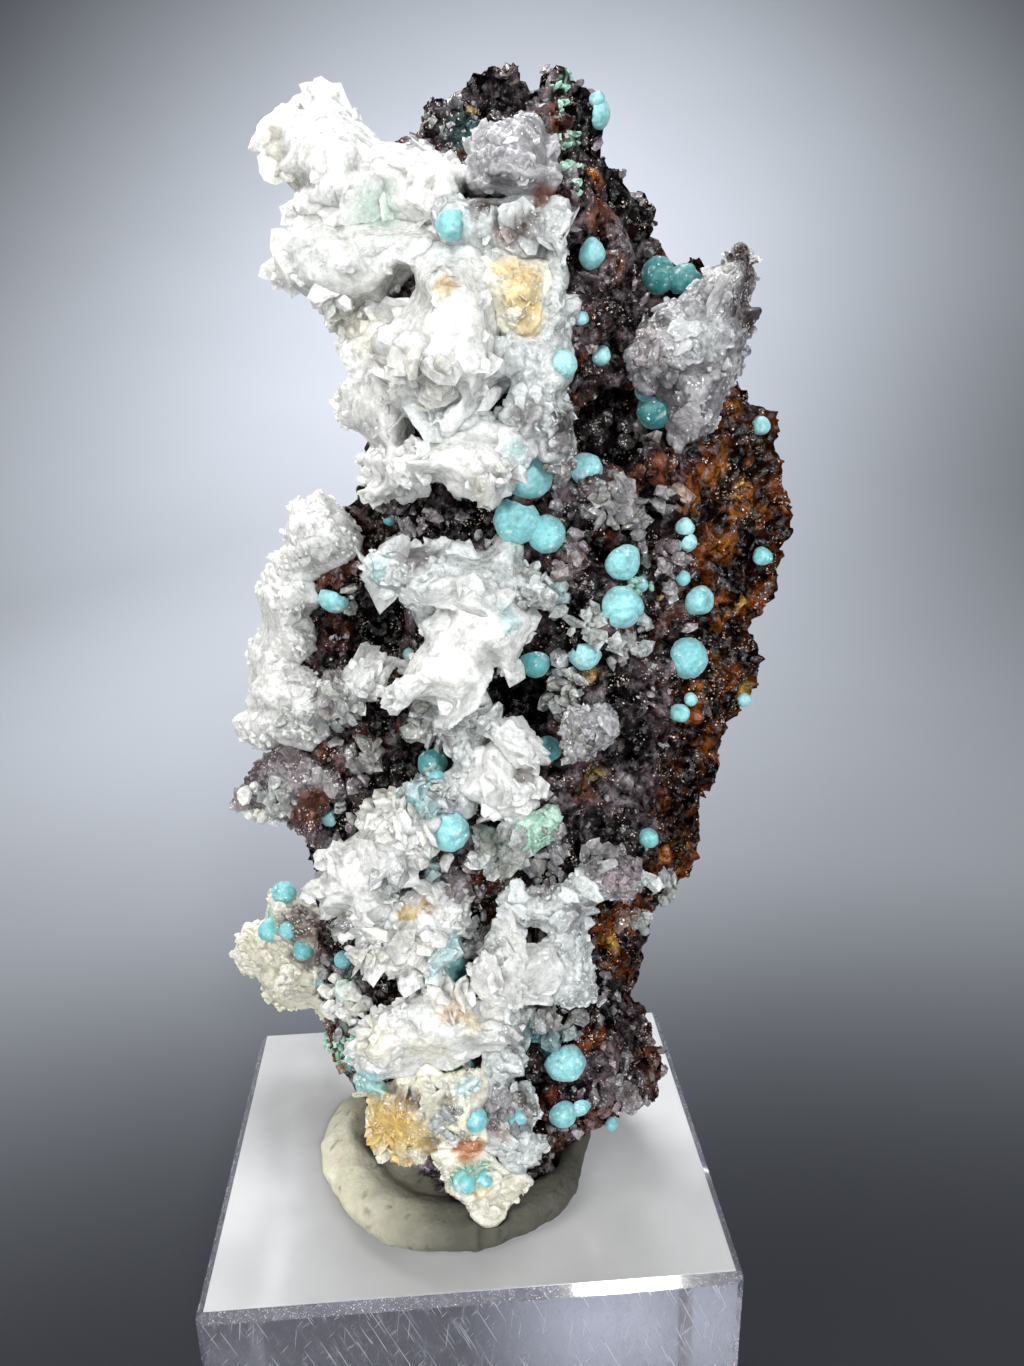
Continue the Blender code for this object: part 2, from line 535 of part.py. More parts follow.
def rock():
    """Build the limonite rock, with its caves, pits and broken back."""
    broken = facets(ROCK_BACK, ROCK_OUTLINE, 9, ROCK_BACK_FACE, ROCK_BACK_SLOPE)

    def front(u, v):
        gap = rock_middle(u, v).y - rock_front_y(u, v)
        return max(ROCK_LEAST, gap + rock_roughness(u, v, 3))

    def back(u, v):
        foot = max(0.0, min(1.0, (v - ROCK_FOOT_STARTS) / 200))
        return broken(u, v) + ROCK_FOOT_BACK * foot + 0.6 * rock_roughness(u, v, 11)

    solid, twin = pillow(
        "limonite_rock", "limonite", ROCK_OUTLINE, rock_middle, front, back,
        ROCK_STEPS, ROCK_RIMS, ROCK_TEETH, 5)
    for thing, foot in ((solid, ROCK_FOOT), (twin, ROCK_FOOT - GAP)):
        trim_below(thing, BLOCK_HEIGHT + foot)
    return solid, twin


def trim_below(thing, height):
    """Cut a solid off flat at a height and close the cut."""
    body = bmesh.new()
    body.from_mesh(thing.data)
    everything = body.verts[:] + body.edges[:] + body.faces[:]
    cut = bmesh.ops.bisect_plane(
        body, geom=everything, plane_co=(0, 0, height), plane_no=(0, 0, 1), clear_inner=True)
    edges = [item for item in cut["geom_cut"] if isinstance(item, bmesh.types.BMEdge)]
    if edges:
        bmesh.ops.triangle_fill(body, use_beauty=True, edges=edges)
    bmesh.ops.recalc_face_normals(body, faces=body.faces)
    body.to_mesh(thing.data)
    body.free()


def crystal(form, rock_tree, seed):
    """Build one crystal cluster on its tilted sheet, which stays in front of the rock."""
    flat = tilted_sheet(form.outline, form.depth, form.turn, form.lean)

    def base(u, v):
        point = flat(u, v)
        place = rock_tree.ray_cast(EYE, sight(u, v))[0]
        if place is None or form.depth > BEHIND_ROCK:
            return point
        return at_depth(u, v, min(point.y, place.y - CRYSTAL_STAND))

    front = facets(form.front, form.outline, seed, CRYSTAL_FACE, CRYSTAL_SLOPE)
    back = facets(form.back, form.outline, seed + 50, CRYSTAL_BACK_FACE, CRYSTAL_BACK_SLOPE)
    solid, twin = pillow(
        form.name, form.slot, form.outline, base, front, back,
        CRYSTAL_STEPS, CRYSTAL_RIMS, CRYSTAL_TEETH, seed)
    for thing, foot in ((solid, CRYSTAL_FOOT), (twin, CRYSTAL_FOOT - GAP)):
        trim_below(thing, BLOCK_HEIGHT + foot)
    return solid, twin


def bounds(thing):
    """Return the least and greatest corner of an object's mesh."""
    corners = [vertex.co for vertex in thing.data.vertices]
    low = Vector([min(corner[axis] for corner in corners) for axis in range(3)])
    high = Vector([max(corner[axis] for corner in corners) for axis in range(3)])
    return low, high


def near(first, second):
    """Tell whether two objects' boxes meet."""
    low_a, high_a = bounds(first)
    low_b, high_b = bounds(second)
    return all(low_a[axis] < high_b[axis] and low_b[axis] < high_a[axis] for axis in range(3))


def combine(thing, other, operation):
    """Cut one object with another, or join the two, and keep the result as a plain mesh."""
    modifier = thing.modifiers.new(operation.lower(), "BOOLEAN")
    modifier.operation = operation
    modifier.solver = "EXACT"
    modifier.object = other
    graph = bpy.context.evaluated_depsgraph_get()
    mesh = bpy.data.meshes.new_from_object(thing.evaluated_get(graph))
    thing.modifiers.remove(modifier)
    thing.data = mesh


def islands(body):
    """Return the connected groups of faces of a mesh."""
    groups = []
    left = set(body.faces)
    while left:
        group = set()
        front = [left.pop()]
        while front:
            face = front.pop()
            group.add(face)
            for edge in face.edges:
                for other in edge.link_faces:
                    if other in left:
                        left.remove(other)
                        front.append(other)
        groups.append(group)
    return groups


def keep_largest(thing):
    """Keep only the largest body of a cut solid."""
    body = bmesh.new()
    body.from_mesh(thing.data)
    groups = islands(body)
    groups.sort(key=lambda group: sum(face.calc_area() for face in group))
    for group in groups[:-1]:
        bmesh.ops.delete(body, geom=list(group), context="FACES")
    loose = [vertex for vertex in body.verts if not vertex.link_faces]
    bmesh.ops.delete(body, geom=loose, context="VERTS")
    body.to_mesh(thing.data)
    body.free()


def flatten_faces(thing, angles):
    """Merge faces that are nearly in line, by the first angle that leaves the solid closed."""
    for angle in angles:
        body = bmesh.new()
        body.from_mesh(thing.data)
        bmesh.ops.dissolve_limit(
            body, angle_limit=math.radians(angle), verts=body.verts, edges=body.edges)
        bmesh.ops.triangulate(body, faces=body.faces)
        closed = all(len(edge.link_faces) == 2 for edge in body.edges)
        if closed:
            body.to_mesh(thing.data)
            body.free()
            return
        body.free()


def seat(thing, twins, angles):
    """Cut a solid back wherever a neighbour, with the gap round it, takes its place."""
    for twin in twins:
        if near(thing, twin):
            combine(thing, twin, "DIFFERENCE")
    keep_largest(thing)
    flatten_faces(thing, angles)


def surface_tree(things):
    """Return one search tree over the surfaces of several objects."""
    verts = []
    faces = []
    for thing in things:
        first = len(verts)
        verts.extend(vertex.co.copy() for vertex in thing.data.vertices)
        faces.extend([first + corner for corner in face.vertices] for face in thing.data.polygons)
    return BVHTree.FromPolygons(verts, faces)


def ball(name, place, radius, seed):
    """Build one slightly lumpy ball."""
    body = bmesh.new()
    bmesh.ops.create_icosphere(body, subdivisions=2, radius=radius)
    for vertex in body.verts:
        lump = noise.noise(vertex.co * (1.3 / radius) + Vector((seed, 0, 0)))
        vertex.co *= 1 + BALL_LUMP * lump
    bmesh.ops.translate(body, verts=body.verts, vec=place)
    return new_object(name, body, "aurichalcite", smooth=True)


def ball_group(name, balls, hosts, seed):
    """Seat balls on the surfaces that their lines of sight meet, joined where they touch."""
    first = None
    guard = None
    for number, (u, v, radius_view) in enumerate(balls):
        ray = sight(u, v)
        place, _, _, distance = hosts.ray_cast(EYE, ray)
        radius = radius_view * distance / FOCAL
        place -= ray * radius * BALL_STAND
        made = ball(name, place, radius, seed + number)
        grown = ball(name + "_clearance", place, radius + GAP, seed + number)
        if first is None:
            first, guard = made, grown
            continue
        combine(first, made, "UNION")
        combine(guard, grown, "UNION")
        remove(made)
        remove(grown)
    return first, guard


def remove(thing):
    """Delete an object."""
    bpy.data.objects.remove(thing, do_unlink=True)


def display_block():
    """Build the clear block, with fine chamfers."""
    body = bmesh.new()
    bmesh.ops.create_cube(body, size=1)
    bmesh.ops.scale(body, verts=body.verts, vec=(BLOCK_WIDTH, BLOCK_DEPTH, BLOCK_HEIGHT))
    bmesh.ops.translate(body, verts=body.verts, vec=(0, 0, BLOCK_HEIGHT / 2))
    bmesh.ops.bevel(
        body, geom=body.edges[:], offset=BLOCK_CHAMFER, segments=1, affect="EDGES")
    return new_object("acrylic_block", body, "acrylic")


def putty_ring():
    """Build the putty: a hand-rolled ring, dished in the middle, on the block's top."""
    centre = Vector((*PUTTY_CENTRE, BLOCK_HEIGHT + PUTTY_LIFT))
    inner = PUTTY_RADIUS - PUTTY_RIM
    profile = (
        (PUTTY_RADIUS - 0.9, 0.0), (PUTTY_RADIUS - 0.1, 0.5), (PUTTY_RADIUS, 1.2),
        (PUTTY_RADIUS - 0.7, 1.9), (PUTTY_RADIUS - 1.9, PUTTY_HEIGHT), (inner + 0.9, 1.8),
        (inner, PUTTY_FLOOR))
    body = bmesh.new()
    rings = []
    for step in range(PUTTY_STEPS):
        angle = math.tau * step / PUTTY_STEPS
        swell = 1 + PUTTY_SWELL * noise.noise(Vector((math.cos(angle) * 1.4, math.sin(angle) * 1.4, 2)))
        direction = Vector((math.cos(angle), math.sin(angle), 0))
        ring = []
        for level, (radius, height) in enumerate(profile):
            dent = PUTTY_DENT * noise.noise(Vector((direction.x * 5, direction.y * 5, level)))
            lift = height + (dent if 0 < level < len(profile) - 1 else 0)
            ring.append(body.verts.new(centre + direction * radius * swell + Vector((0, 0, lift))))
        rings.append(ring)
    top = body.verts.new(centre + Vector((0, 0, PUTTY_FLOOR - 0.1)))
    bottom = body.verts.new(centre)
    for first, second in zip(rings, rings[1:] + rings[:1]):
        body.faces.new((first[0], bottom, second[0]))
        body.faces.new((first[-1], second[-1], top))
        for low in range(len(profile) - 1):
            body.faces.new((first[low], second[low], second[low + 1], first[low + 1]))
    bmesh.ops.recalc_face_normals(body, faces=body.faces)
    bmesh.ops.triangulate(body, faces=body.faces)
    return new_object("putty_ring", body, "putty", smooth=True)


def to_metres():
    """Turn every solid's millimetres into metres."""
    for thing in bpy.data.objects:
        thing.data.transform(Matrix.Scale(MM, 4))


def main():
    """Build the whole specimen on its block."""
    for thing in list(bpy.data.objects):
        bpy.data.objects.remove(thing, do_unlink=True)
    display_block()
    putty = putty_ring()
    solid, twin = rock()
    flatten_faces(solid, ROCK_FLAT)
    solids = [solid]
    twins = [twin]
    rock_tree = surface_tree(solids)
    for number, form in enumerate(CRYSTALS):
        solid, twin = crystal(form, rock_tree, 20 + number)
        seat(solid, twins, CRYSTAL_FLAT)
        solids.append(solid)
        twins.append(twin)
    hosts = surface_tree(solids)
    for number, (name, balls) in enumerate(BALLS.items()):
        solid, twin = ball_group(name, balls, hosts, 3 * number)
        seat(solid, twins, BALL_FLAT)
        solids.append(solid)
        twins.append(twin)
    seat(putty, twins, BALL_FLAT)
    for twin in twins:
        remove(twin)
    to_metres()


main()
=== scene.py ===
"""The looks of the aurichalcite and calcite specimen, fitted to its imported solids.

Lengths in this script are millimetres until a finished mesh is written, in metres. Places that come
from the front view are (u, v) in a 1024 x 1366 frame with v running down.
"""

import itertools
import json
import math
from collections import namedtuple

import bpy
import numpy as np
from mathutils import Matrix, Vector
from mathutils.bvhtree import BVHTree
from mathutils.kdtree import KDTree


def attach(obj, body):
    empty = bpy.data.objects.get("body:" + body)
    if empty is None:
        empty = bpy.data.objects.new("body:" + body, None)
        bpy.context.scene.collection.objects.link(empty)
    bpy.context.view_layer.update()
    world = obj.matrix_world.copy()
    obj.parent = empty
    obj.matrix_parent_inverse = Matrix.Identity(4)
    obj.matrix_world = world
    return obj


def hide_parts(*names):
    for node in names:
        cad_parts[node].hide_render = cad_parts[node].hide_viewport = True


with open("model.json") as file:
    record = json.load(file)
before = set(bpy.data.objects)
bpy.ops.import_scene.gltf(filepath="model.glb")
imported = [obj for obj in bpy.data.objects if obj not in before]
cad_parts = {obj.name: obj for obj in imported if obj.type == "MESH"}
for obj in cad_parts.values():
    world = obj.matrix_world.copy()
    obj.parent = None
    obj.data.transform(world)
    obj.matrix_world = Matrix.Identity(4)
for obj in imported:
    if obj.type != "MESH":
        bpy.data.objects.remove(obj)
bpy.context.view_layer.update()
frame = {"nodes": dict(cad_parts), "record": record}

MM = 0.001

# The front view: the eye in millimetres, its directions in degrees and its focal length in view units.
EYE = np.array((-0.34, -57.48, 84.03))
YAW, PITCH, ROLL = 3.96, 18.69, 0.98
FOCAL = 1032.0
VIEW_WIDTH, VIEW_HEIGHT = 1024, 1366
SENSOR = 36.0

# Colours, linear.
PALETTE = {
    "white": (0.84, 0.845, 0.82),
    "cream": (0.82, 0.79, 0.64),
    "ice": (0.70, 0.74, 0.735),
    "grey": (0.43, 0.42, 0.44),
    "lilac": (0.38, 0.33, 0.36),
    "mauve": (0.15, 0.115, 0.125),
    "plum": (0.045, 0.028, 0.031),
    "black": (0.003, 0.002, 0.002),
    "umber": (0.040, 0.012, 0.004),
    "rust": (0.19, 0.045, 0.007),
    "orange": (0.40, 0.13, 0.018),
    "gold": (0.75, 0.48, 0.10),
    "ochre": (0.64, 0.45, 0.15),
    "peach": (0.74, 0.48, 0.28),
    "mint": (0.36, 0.66, 0.50),
    "turquoise": (0.10, 0.44, 0.46),
    "teal": (0.035, 0.20, 0.20),
    "sky": (0.37, 0.67, 0.70),
    "putty": (0.50, 0.485, 0.37),
}


def view_axes():
    """Return the right, down and forward directions of the front view."""
    yaw, pitch, roll = (math.radians(angle) for angle in (YAW, PITCH, ROLL))
    forward = np.array((
        math.sin(yaw) * math.cos(pitch), math.cos(yaw) * math.cos(pitch), -math.sin(pitch)))
    level = np.array((math.cos(yaw), -math.sin(yaw), 0.0))
    below = np.cross(forward, level)
    right = level * math.cos(roll) + below * math.sin(roll)
    down = below * math.cos(roll) - level * math.sin(roll)
    return right, down, forward


RIGHT, DOWN, FORWARD = view_axes()


def sight(u, v):
    """Return the direction from the eye through a place in the view."""
    ray = FORWARD + RIGHT * ((u - VIEW_WIDTH / 2) / FOCAL) + DOWN * ((v - VIEW_HEIGHT / 2) / FOCAL)
    return ray / np.linalg.norm(ray)


def in_view(points):
    """Return where points lie in the view, and how far they are."""
    from_eye = points - EYE
    ahead = from_eye @ FORWARD
    u = VIEW_WIDTH / 2 + FOCAL * (from_eye @ RIGHT) / ahead
    v = VIEW_HEIGHT / 2 + FOCAL * (from_eye @ DOWN) / ahead
    return u, v, ahead


# Repeatable noise. Each function takes an array of points, in millimetres.

def hashed(cell, seed):
    """Return a repeatable number from 0 to 1 for each whole-numbered cell."""
    grid = cell.astype(np.int64).view(np.uint64)
    mixed = grid[:, 0] * np.uint64(73856093) ^ grid[:, 1] * np.uint64(19349663)
    mixed = mixed ^ grid[:, 2] * np.uint64(83492791) ^ np.uint64(seed * 2654435761 + 97)
    mixed = (mixed ^ (mixed >> np.uint64(15))) * np.uint64(2246822519)
    mixed = (mixed ^ (mixed >> np.uint64(13))) * np.uint64(3266489917)
    mixed = mixed ^ (mixed >> np.uint64(16))
    return (mixed & np.uint64(0xFFFFFF)).astype(float) / 0xFFFFFF


SKEW = np.array(((0.80, 0.36, 0.48), (-0.60, 0.48, 0.64), (0.0, -0.80, 0.60)))


def lumps(points, size, seed):
    """Return smooth noise from -1 to 1 with lumps of the given size."""
    scaled = points @ SKEW / size
    low = np.floor(scaled)
    share = scaled - low
    share = share * share * (3 - 2 * share)
    total = np.zeros(len(points))
    for corner in itertools.product((0, 1), repeat=3):
        weight = np.prod(np.where(np.array(corner) == 1, share, 1 - share), axis=1)
        total += weight * hashed(low + corner, seed)
    return total * 2 - 1


def layered(points, size, seed, layers=3):
    """Return noise from about -1 to 1, each layer half the size and half the height of the last."""
    total = np.zeros(len(points))
    for layer in range(layers):
        total += lumps(points, size / 2 ** layer, seed + layer) / 2 ** layer
    return total / 1.5


def cells(points, size, seed):
    """Return the distances to the two nearest random centres, that centre and its cell."""
    scaled = points @ SKEW / size
    low = np.floor(scaled)
    nearest = np.full(len(points), np.inf)
    second = np.full(len(points), np.inf)
    centre = np.zeros_like(points)
    owner = np.zeros_like(points)
    for shift in itertools.product((-1, 0, 1), repeat=3):
        cell = low + shift
        place = cell + np.stack([hashed(cell, seed + axis) for axis in range(3)], axis=1)
        distance = np.linalg.norm(scaled - place, axis=1)
        closer = distance < nearest
        second = np.where(closer, nearest, np.minimum(second, distance))
        nearest = np.minimum(nearest, distance)
        centre[closer] = place[closer]
        owner[closer] = cell[closer]
    return nearest * size, second * size, centre * size @ SKEW.T, owner


def facets(points, size, seed, slope):
    """Return heights that break a surface into flat faces of about the given size."""
    _, _, centre, owner = cells(points, size, seed)
    tilt = np.stack([hashed(owner, seed + 10 + axis) - 0.5 for axis in range(3)], axis=1)
    step = hashed(owner, seed + 20) - 0.5
    return np.sum((points - centre) * tilt, axis=1) * 2 * slope + step * size * slope


def blend(low, high, value):
    """Return a smooth step from 0 to 1 as the value goes from low to high."""
    share = np.clip((value - low) / (high - low), 0, 1)
    return share * share * (3 - 2 * share)


def mixed(first, second, share):
    """Mix two colours, or rows of colours, by a share for each point."""
    return first * (1 - share[:, None]) + np.asarray(second) * share[:, None]


def units(rows):
    """Return rows of vectors scaled to length 1."""
    return rows / np.maximum(np.linalg.norm(rows, axis=1), 1e-9)[:, None]


# Meshes.

def activate(piece):
    """Make a piece the only selected and active object."""
    bpy.ops.object.select_all(action="DESELECT")
    piece.select_set(True)
    bpy.context.view_layer.objects.active = piece


def apply_modifier(piece, kind, **settings):
    """Add a modifier, set it and apply it."""
    activate(piece)
    modifier = piece.modifiers.new(kind.lower(), kind)
    for name, value in settings.items():
        setattr(modifier, name, value)
    bpy.ops.object.modifier_apply(modifier=modifier.name)


def merged_copy(node):
    """Return a copy of a CAD node with its loose triangles joined."""
    piece = frame["nodes"][node].copy()
    piece.data = piece.data.copy()
    for key in list(piece.keys()):
        del piece[key]
    piece.parent = None
    bpy.context.scene.collection.objects.link(piece)
    activate(piece)
    bpy.ops.object.mode_set(mode="EDIT")
    bpy.ops.mesh.select_all(action="SELECT")
    bpy.ops.mesh.remove_doubles(threshold=1e-6)
    bpy.ops.object.mode_set(mode="OBJECT")
    piece.data.materials.clear()
    return piece


def body_arrays(piece):
    """Return the corners, normals and four-sided faces of a remeshed piece, then delete the piece."""
    mesh = piece.data
    points = np.empty(len(mesh.vertices) * 3)
    normals = np.empty(len(mesh.vertices) * 3)
    corners = np.empty(len(mesh.loops), np.int64)
    mesh.vertices.foreach_get("co", points)
    mesh.vertex_normals.foreach_get("vector", normals)
    mesh.loops.foreach_get("vertex_index", corners)
    bpy.data.objects.remove(piece)
    return points.reshape(-1, 3) / MM, normals.reshape(-1, 3), corners.reshape(-1, 4)


def remeshed(node, voxel, rounds=0):
    """Return the corners, normals and faces of a CAD node remeshed at a voxel size and smoothed."""
    piece = merged_copy(node)
    apply_modifier(piece, "REMESH", mode="VOXEL", voxel_size=voxel * MM)
    if rounds:
        apply_modifier(piece, "SMOOTH", factor=0.5, iterations=rounds)
    return body_arrays(piece)


def fused(pieces, voxel, rounds=0):
    """Return the corners, normals and faces of pieces fused into one skin and smoothed."""
    activate(pieces[0])
    if len(pieces) > 1:
        for piece in pieces[1:]:
            piece.select_set(True)
        bpy.ops.object.join()
    apply_modifier(pieces[0], "REMESH", mode="VOXEL", voxel_size=voxel * MM)
    if rounds:
        apply_modifier(pieces[0], "SMOOTH", factor=0.5, iterations=rounds)
    return body_arrays(pieces[0])


def face_normals(points, faces):
    """Return the normals and areas of four-sided faces."""
    first = points[faces[:, 2]] - points[faces[:, 0]]
    second = points[faces[:, 3]] - points[faces[:, 1]]
    cross = np.cross(first, second)
    length = np.linalg.norm(cross, axis=1)
    return cross / np.maximum(length, 1e-12)[:, None], length / 2


def relief(points, normals, faces, rounds):
    """Return how far each corner stands out of its surroundings, in mm. Hollows are below 0."""
    after = np.roll(faces, -1, axis=1).ravel()
    ends = np.concatenate((faces.ravel(), after))
    others = np.concatenate((after, faces.ravel()))
    count = np.bincount(ends, minlength=len(points))[:, None]
    middle = points
    for _ in range(rounds):
        sums = [np.bincount(ends, middle[others, axis], len(points)) for axis in range(3)]
        middle = np.stack(sums, axis=1) / count
    return np.sum((points - middle) * normals, axis=1)


def sampled(points, faces, density, chance, wanted=None):
    """Return random places on the faces, their normals and their faces, at a density per square mm.

    The wanted share of each face, from 0 to 1, thins them out.
    """
    normals, areas = face_normals(points, faces)
    weight = areas if wanted is None else areas * wanted
    count = int(weight.sum() * density)
    picked = chance.choice(len(faces), count, p=weight / weight.sum())
    corners = points[faces[picked]]
    across, along = chance.random((2, count, 1))
    low = corners[:, 0] * (1 - across) + corners[:, 1] * across
    high = corners[:, 3] * (1 - across) + corners[:, 2] * across
    return low * (1 - along) + high * along, normals[picked]


# Small crystals: across, over and along their long axis. A petal is a thin plate with six sides, and a stub
# is narrower on top.
PETAL_RING = ((-0.25, -0.5), (0.25, -0.5), (0.52, 0.1), (0.3, 0.5), (-0.2, 0.46), (-0.5, 0.05))
PETAL = (
    np.array([(x, y * (1 - 0.4 * (z + 0.5)), z) for y in (-0.5, 0.5) for x, z in PETAL_RING]),
    np.array([(0, 1, 2, 5), (5, 2, 3, 4), (11, 8, 7, 6), (10, 9, 8, 11)]
             + [((side + 1) % 6, side, side + 6, (side + 1) % 6 + 6) for side in range(6)]))

STUB = (
    np.array([(x, y, -0.5) for x, y in ((-0.5, -0.5), (0.5, -0.5), (0.5, 0.5), (-0.5, 0.5))]
             + [(x, y, 0.5) for x, y in ((-0.18, -0.24), (0.26, -0.16), (0.2, 0.24), (-0.24, 0.18))]),
    np.array([(3, 2, 1, 0), (4, 5, 6, 7), (0, 1, 5, 4), (1, 2, 6, 5), (2, 3, 7, 6), (3, 0, 4, 7)]))


def grown(shape, places, axes, over, sizes):
    """Return one small crystal at each place, from its long axis, its upper side and its sizes."""
    corners, faces = shape
    across = units(np.cross(over, axes))
    turns = np.stack((across, np.cross(axes, across), axes), axis=1)
    points = (corners * sizes[:, None]) @ turns + places[:, None]
    offsets = np.arange(len(places)) * points.shape[1]
    all_faces = (faces[None] + offsets[:, None, None]).reshape(-1, 4)
    return points.reshape(-1, 3), all_faces


def ragged(count, corners, chance):
    """Return the shapes of thin plates with ragged rims, thickest in the middle."""
    turn = np.arange(corners) * 2 * math.pi / corners
    reach = 1 + chance.uniform(-0.13, 0.13, (count, corners))
    for lobes, depth in ((2, 0.12), (3, 0.12), (5, 0.09)):
        reach += depth * np.sin(lobes * turn + chance.uniform(0, 2 * math.pi, (count, 1)))
    rim = np.stack((np.cos(turn) * reach, chance.uniform(-0.3, 0.3, reach.shape), np.sin(turn) * reach), axis=2) / 2
    inner = rim * chance.uniform(0.6, 0.82, (count, corners, 1))
    inner[:, :, 1] = chance.uniform(0.3, 0.55, reach.shape)
    poles = np.zeros((count, 2, 3))
    poles[:, :, 1] = (0.5, -0.5)
    first = np.arange(corners)
    after = np.roll(first, -1)
    faces = [
        np.stack((after, first, first + corners, after + corners), axis=1),
        np.stack((np.full(corners // 2, 2 * corners), after[1::2] + corners, first[1::2] + corners,
                  first[::2] + corners), axis=1),
        np.stack((np.full(corners // 2, 2 * corners + 1), first[::2], first[1::2], after[1::2]), axis=1)]
    return np.concatenate((rim, inner, poles), axis=1), np.concatenate(faces)


Part = namedtuple("Part", "points faces colours smooth")


def joined(parts):
    """Join parts into one."""
    starts = np.cumsum([0] + [len(part.points) for part in parts[:-1]])
    return Part(
        np.concatenate([part.points for part in parts]),
        np.concatenate([part.faces + start for part, start in zip(parts, starts)]),
        np.concatenate([part.colours for part in parts]),
        np.concatenate([np.full(len(part.faces), part.smooth) for part in parts]))


def written(name, part):
    """Write a part as a new mesh object, in metres."""
    mesh = bpy.data.meshes.new(name)
    mesh.vertices.add(len(part.points))
    mesh.vertices.foreach_set("co", (part.points * MM).astype(np.float32).ravel())
    mesh.loops.add(part.faces.size)
    mesh.loops.foreach_set("vertex_index", part.faces.astype(np.int32).ravel())
    mesh.polygons.add(len(part.faces))
    mesh.polygons.foreach_set("loop_start", np.arange(0, part.faces.size, 4, dtype=np.int32))
    mesh.update(calc_edges=True)
    tint = mesh.attributes.new("tint", "FLOAT_COLOR", "POINT")
    rows = np.concatenate((np.clip(part.colours, 0, 1), np.ones((len(part.points), 1))), axis=1)
    tint.data.foreach_set("color", rows.astype(np.float32).ravel())
    mesh.polygons.foreach_set("use_smooth", np.full(len(part.faces), part.smooth))
    piece = bpy.data.objects.new(name, mesh)
    bpy.context.scene.collection.objects.link(piece)
    return piece


def place_piece(piece, nodes, material):
    """Give a finished piece its material and its body, and hide the CAD nodes that it stands for."""
    piece.data.materials.append(material)
    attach(piece, "root")
    if nodes:
        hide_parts(*nodes)


# Where things are on the specimen.

def distances(points, tree, reach):
    """Return how far points are from the surfaces of a search tree, up to a reach."""
    found = (tree.find_nearest(point, reach)[3] for point in points.tolist())
    return np.array([reach if distance is None else distance for distance in found])


def surface_tree(names):
    """Return a search tree over CAD nodes, in millimetres."""
    points = []
    faces = []
    for name in names:
        mesh = frame["nodes"][name].data
        first = len(points)
        points.extend(vertex.co / MM for vertex in mesh.vertices)
        faces.extend([first + corner for corner in face.vertices] for face in mesh.polygons)
    return BVHTree.FromPolygons(points, faces)


SPECIMEN = [name for name in frame["nodes"] if name not in ("acrylic_block", "putty_ring")]
specimen_tree = surface_tree(SPECIMEN)
SPECIMEN_U, SPECIMEN_V = 540, 640
RIM_STEPS = 24


def seen_place(u, v):
    """Return the place on the specimen that shows at (u, v), its normal and a view unit there in mm.

    A place just past the rim moves in to it.
    """
    for inward in range(RIM_STEPS):
        share = 0.008 * inward
        ray = sight(u + (SPECIMEN_U - u) * share, v + (SPECIMEN_V - v) * share)
        place, normal, _, distance = specimen_tree.ray_cast(Vector(EYE), Vector(ray))
        if place is not None:
            return np.array(place), np.array(normal), distance / FOCAL
    raise ValueError(f"nothing of the specimen shows at {u}, {v}")


# Patches of colour on the specimen: a colour, a place in the view, a radius there and a strength. Most are stains
# and tones of the minerals; the black ones and some umber ones are painted shade in caves and gaps.
Patch = namedtuple("Patch", "colour u v radius strength")

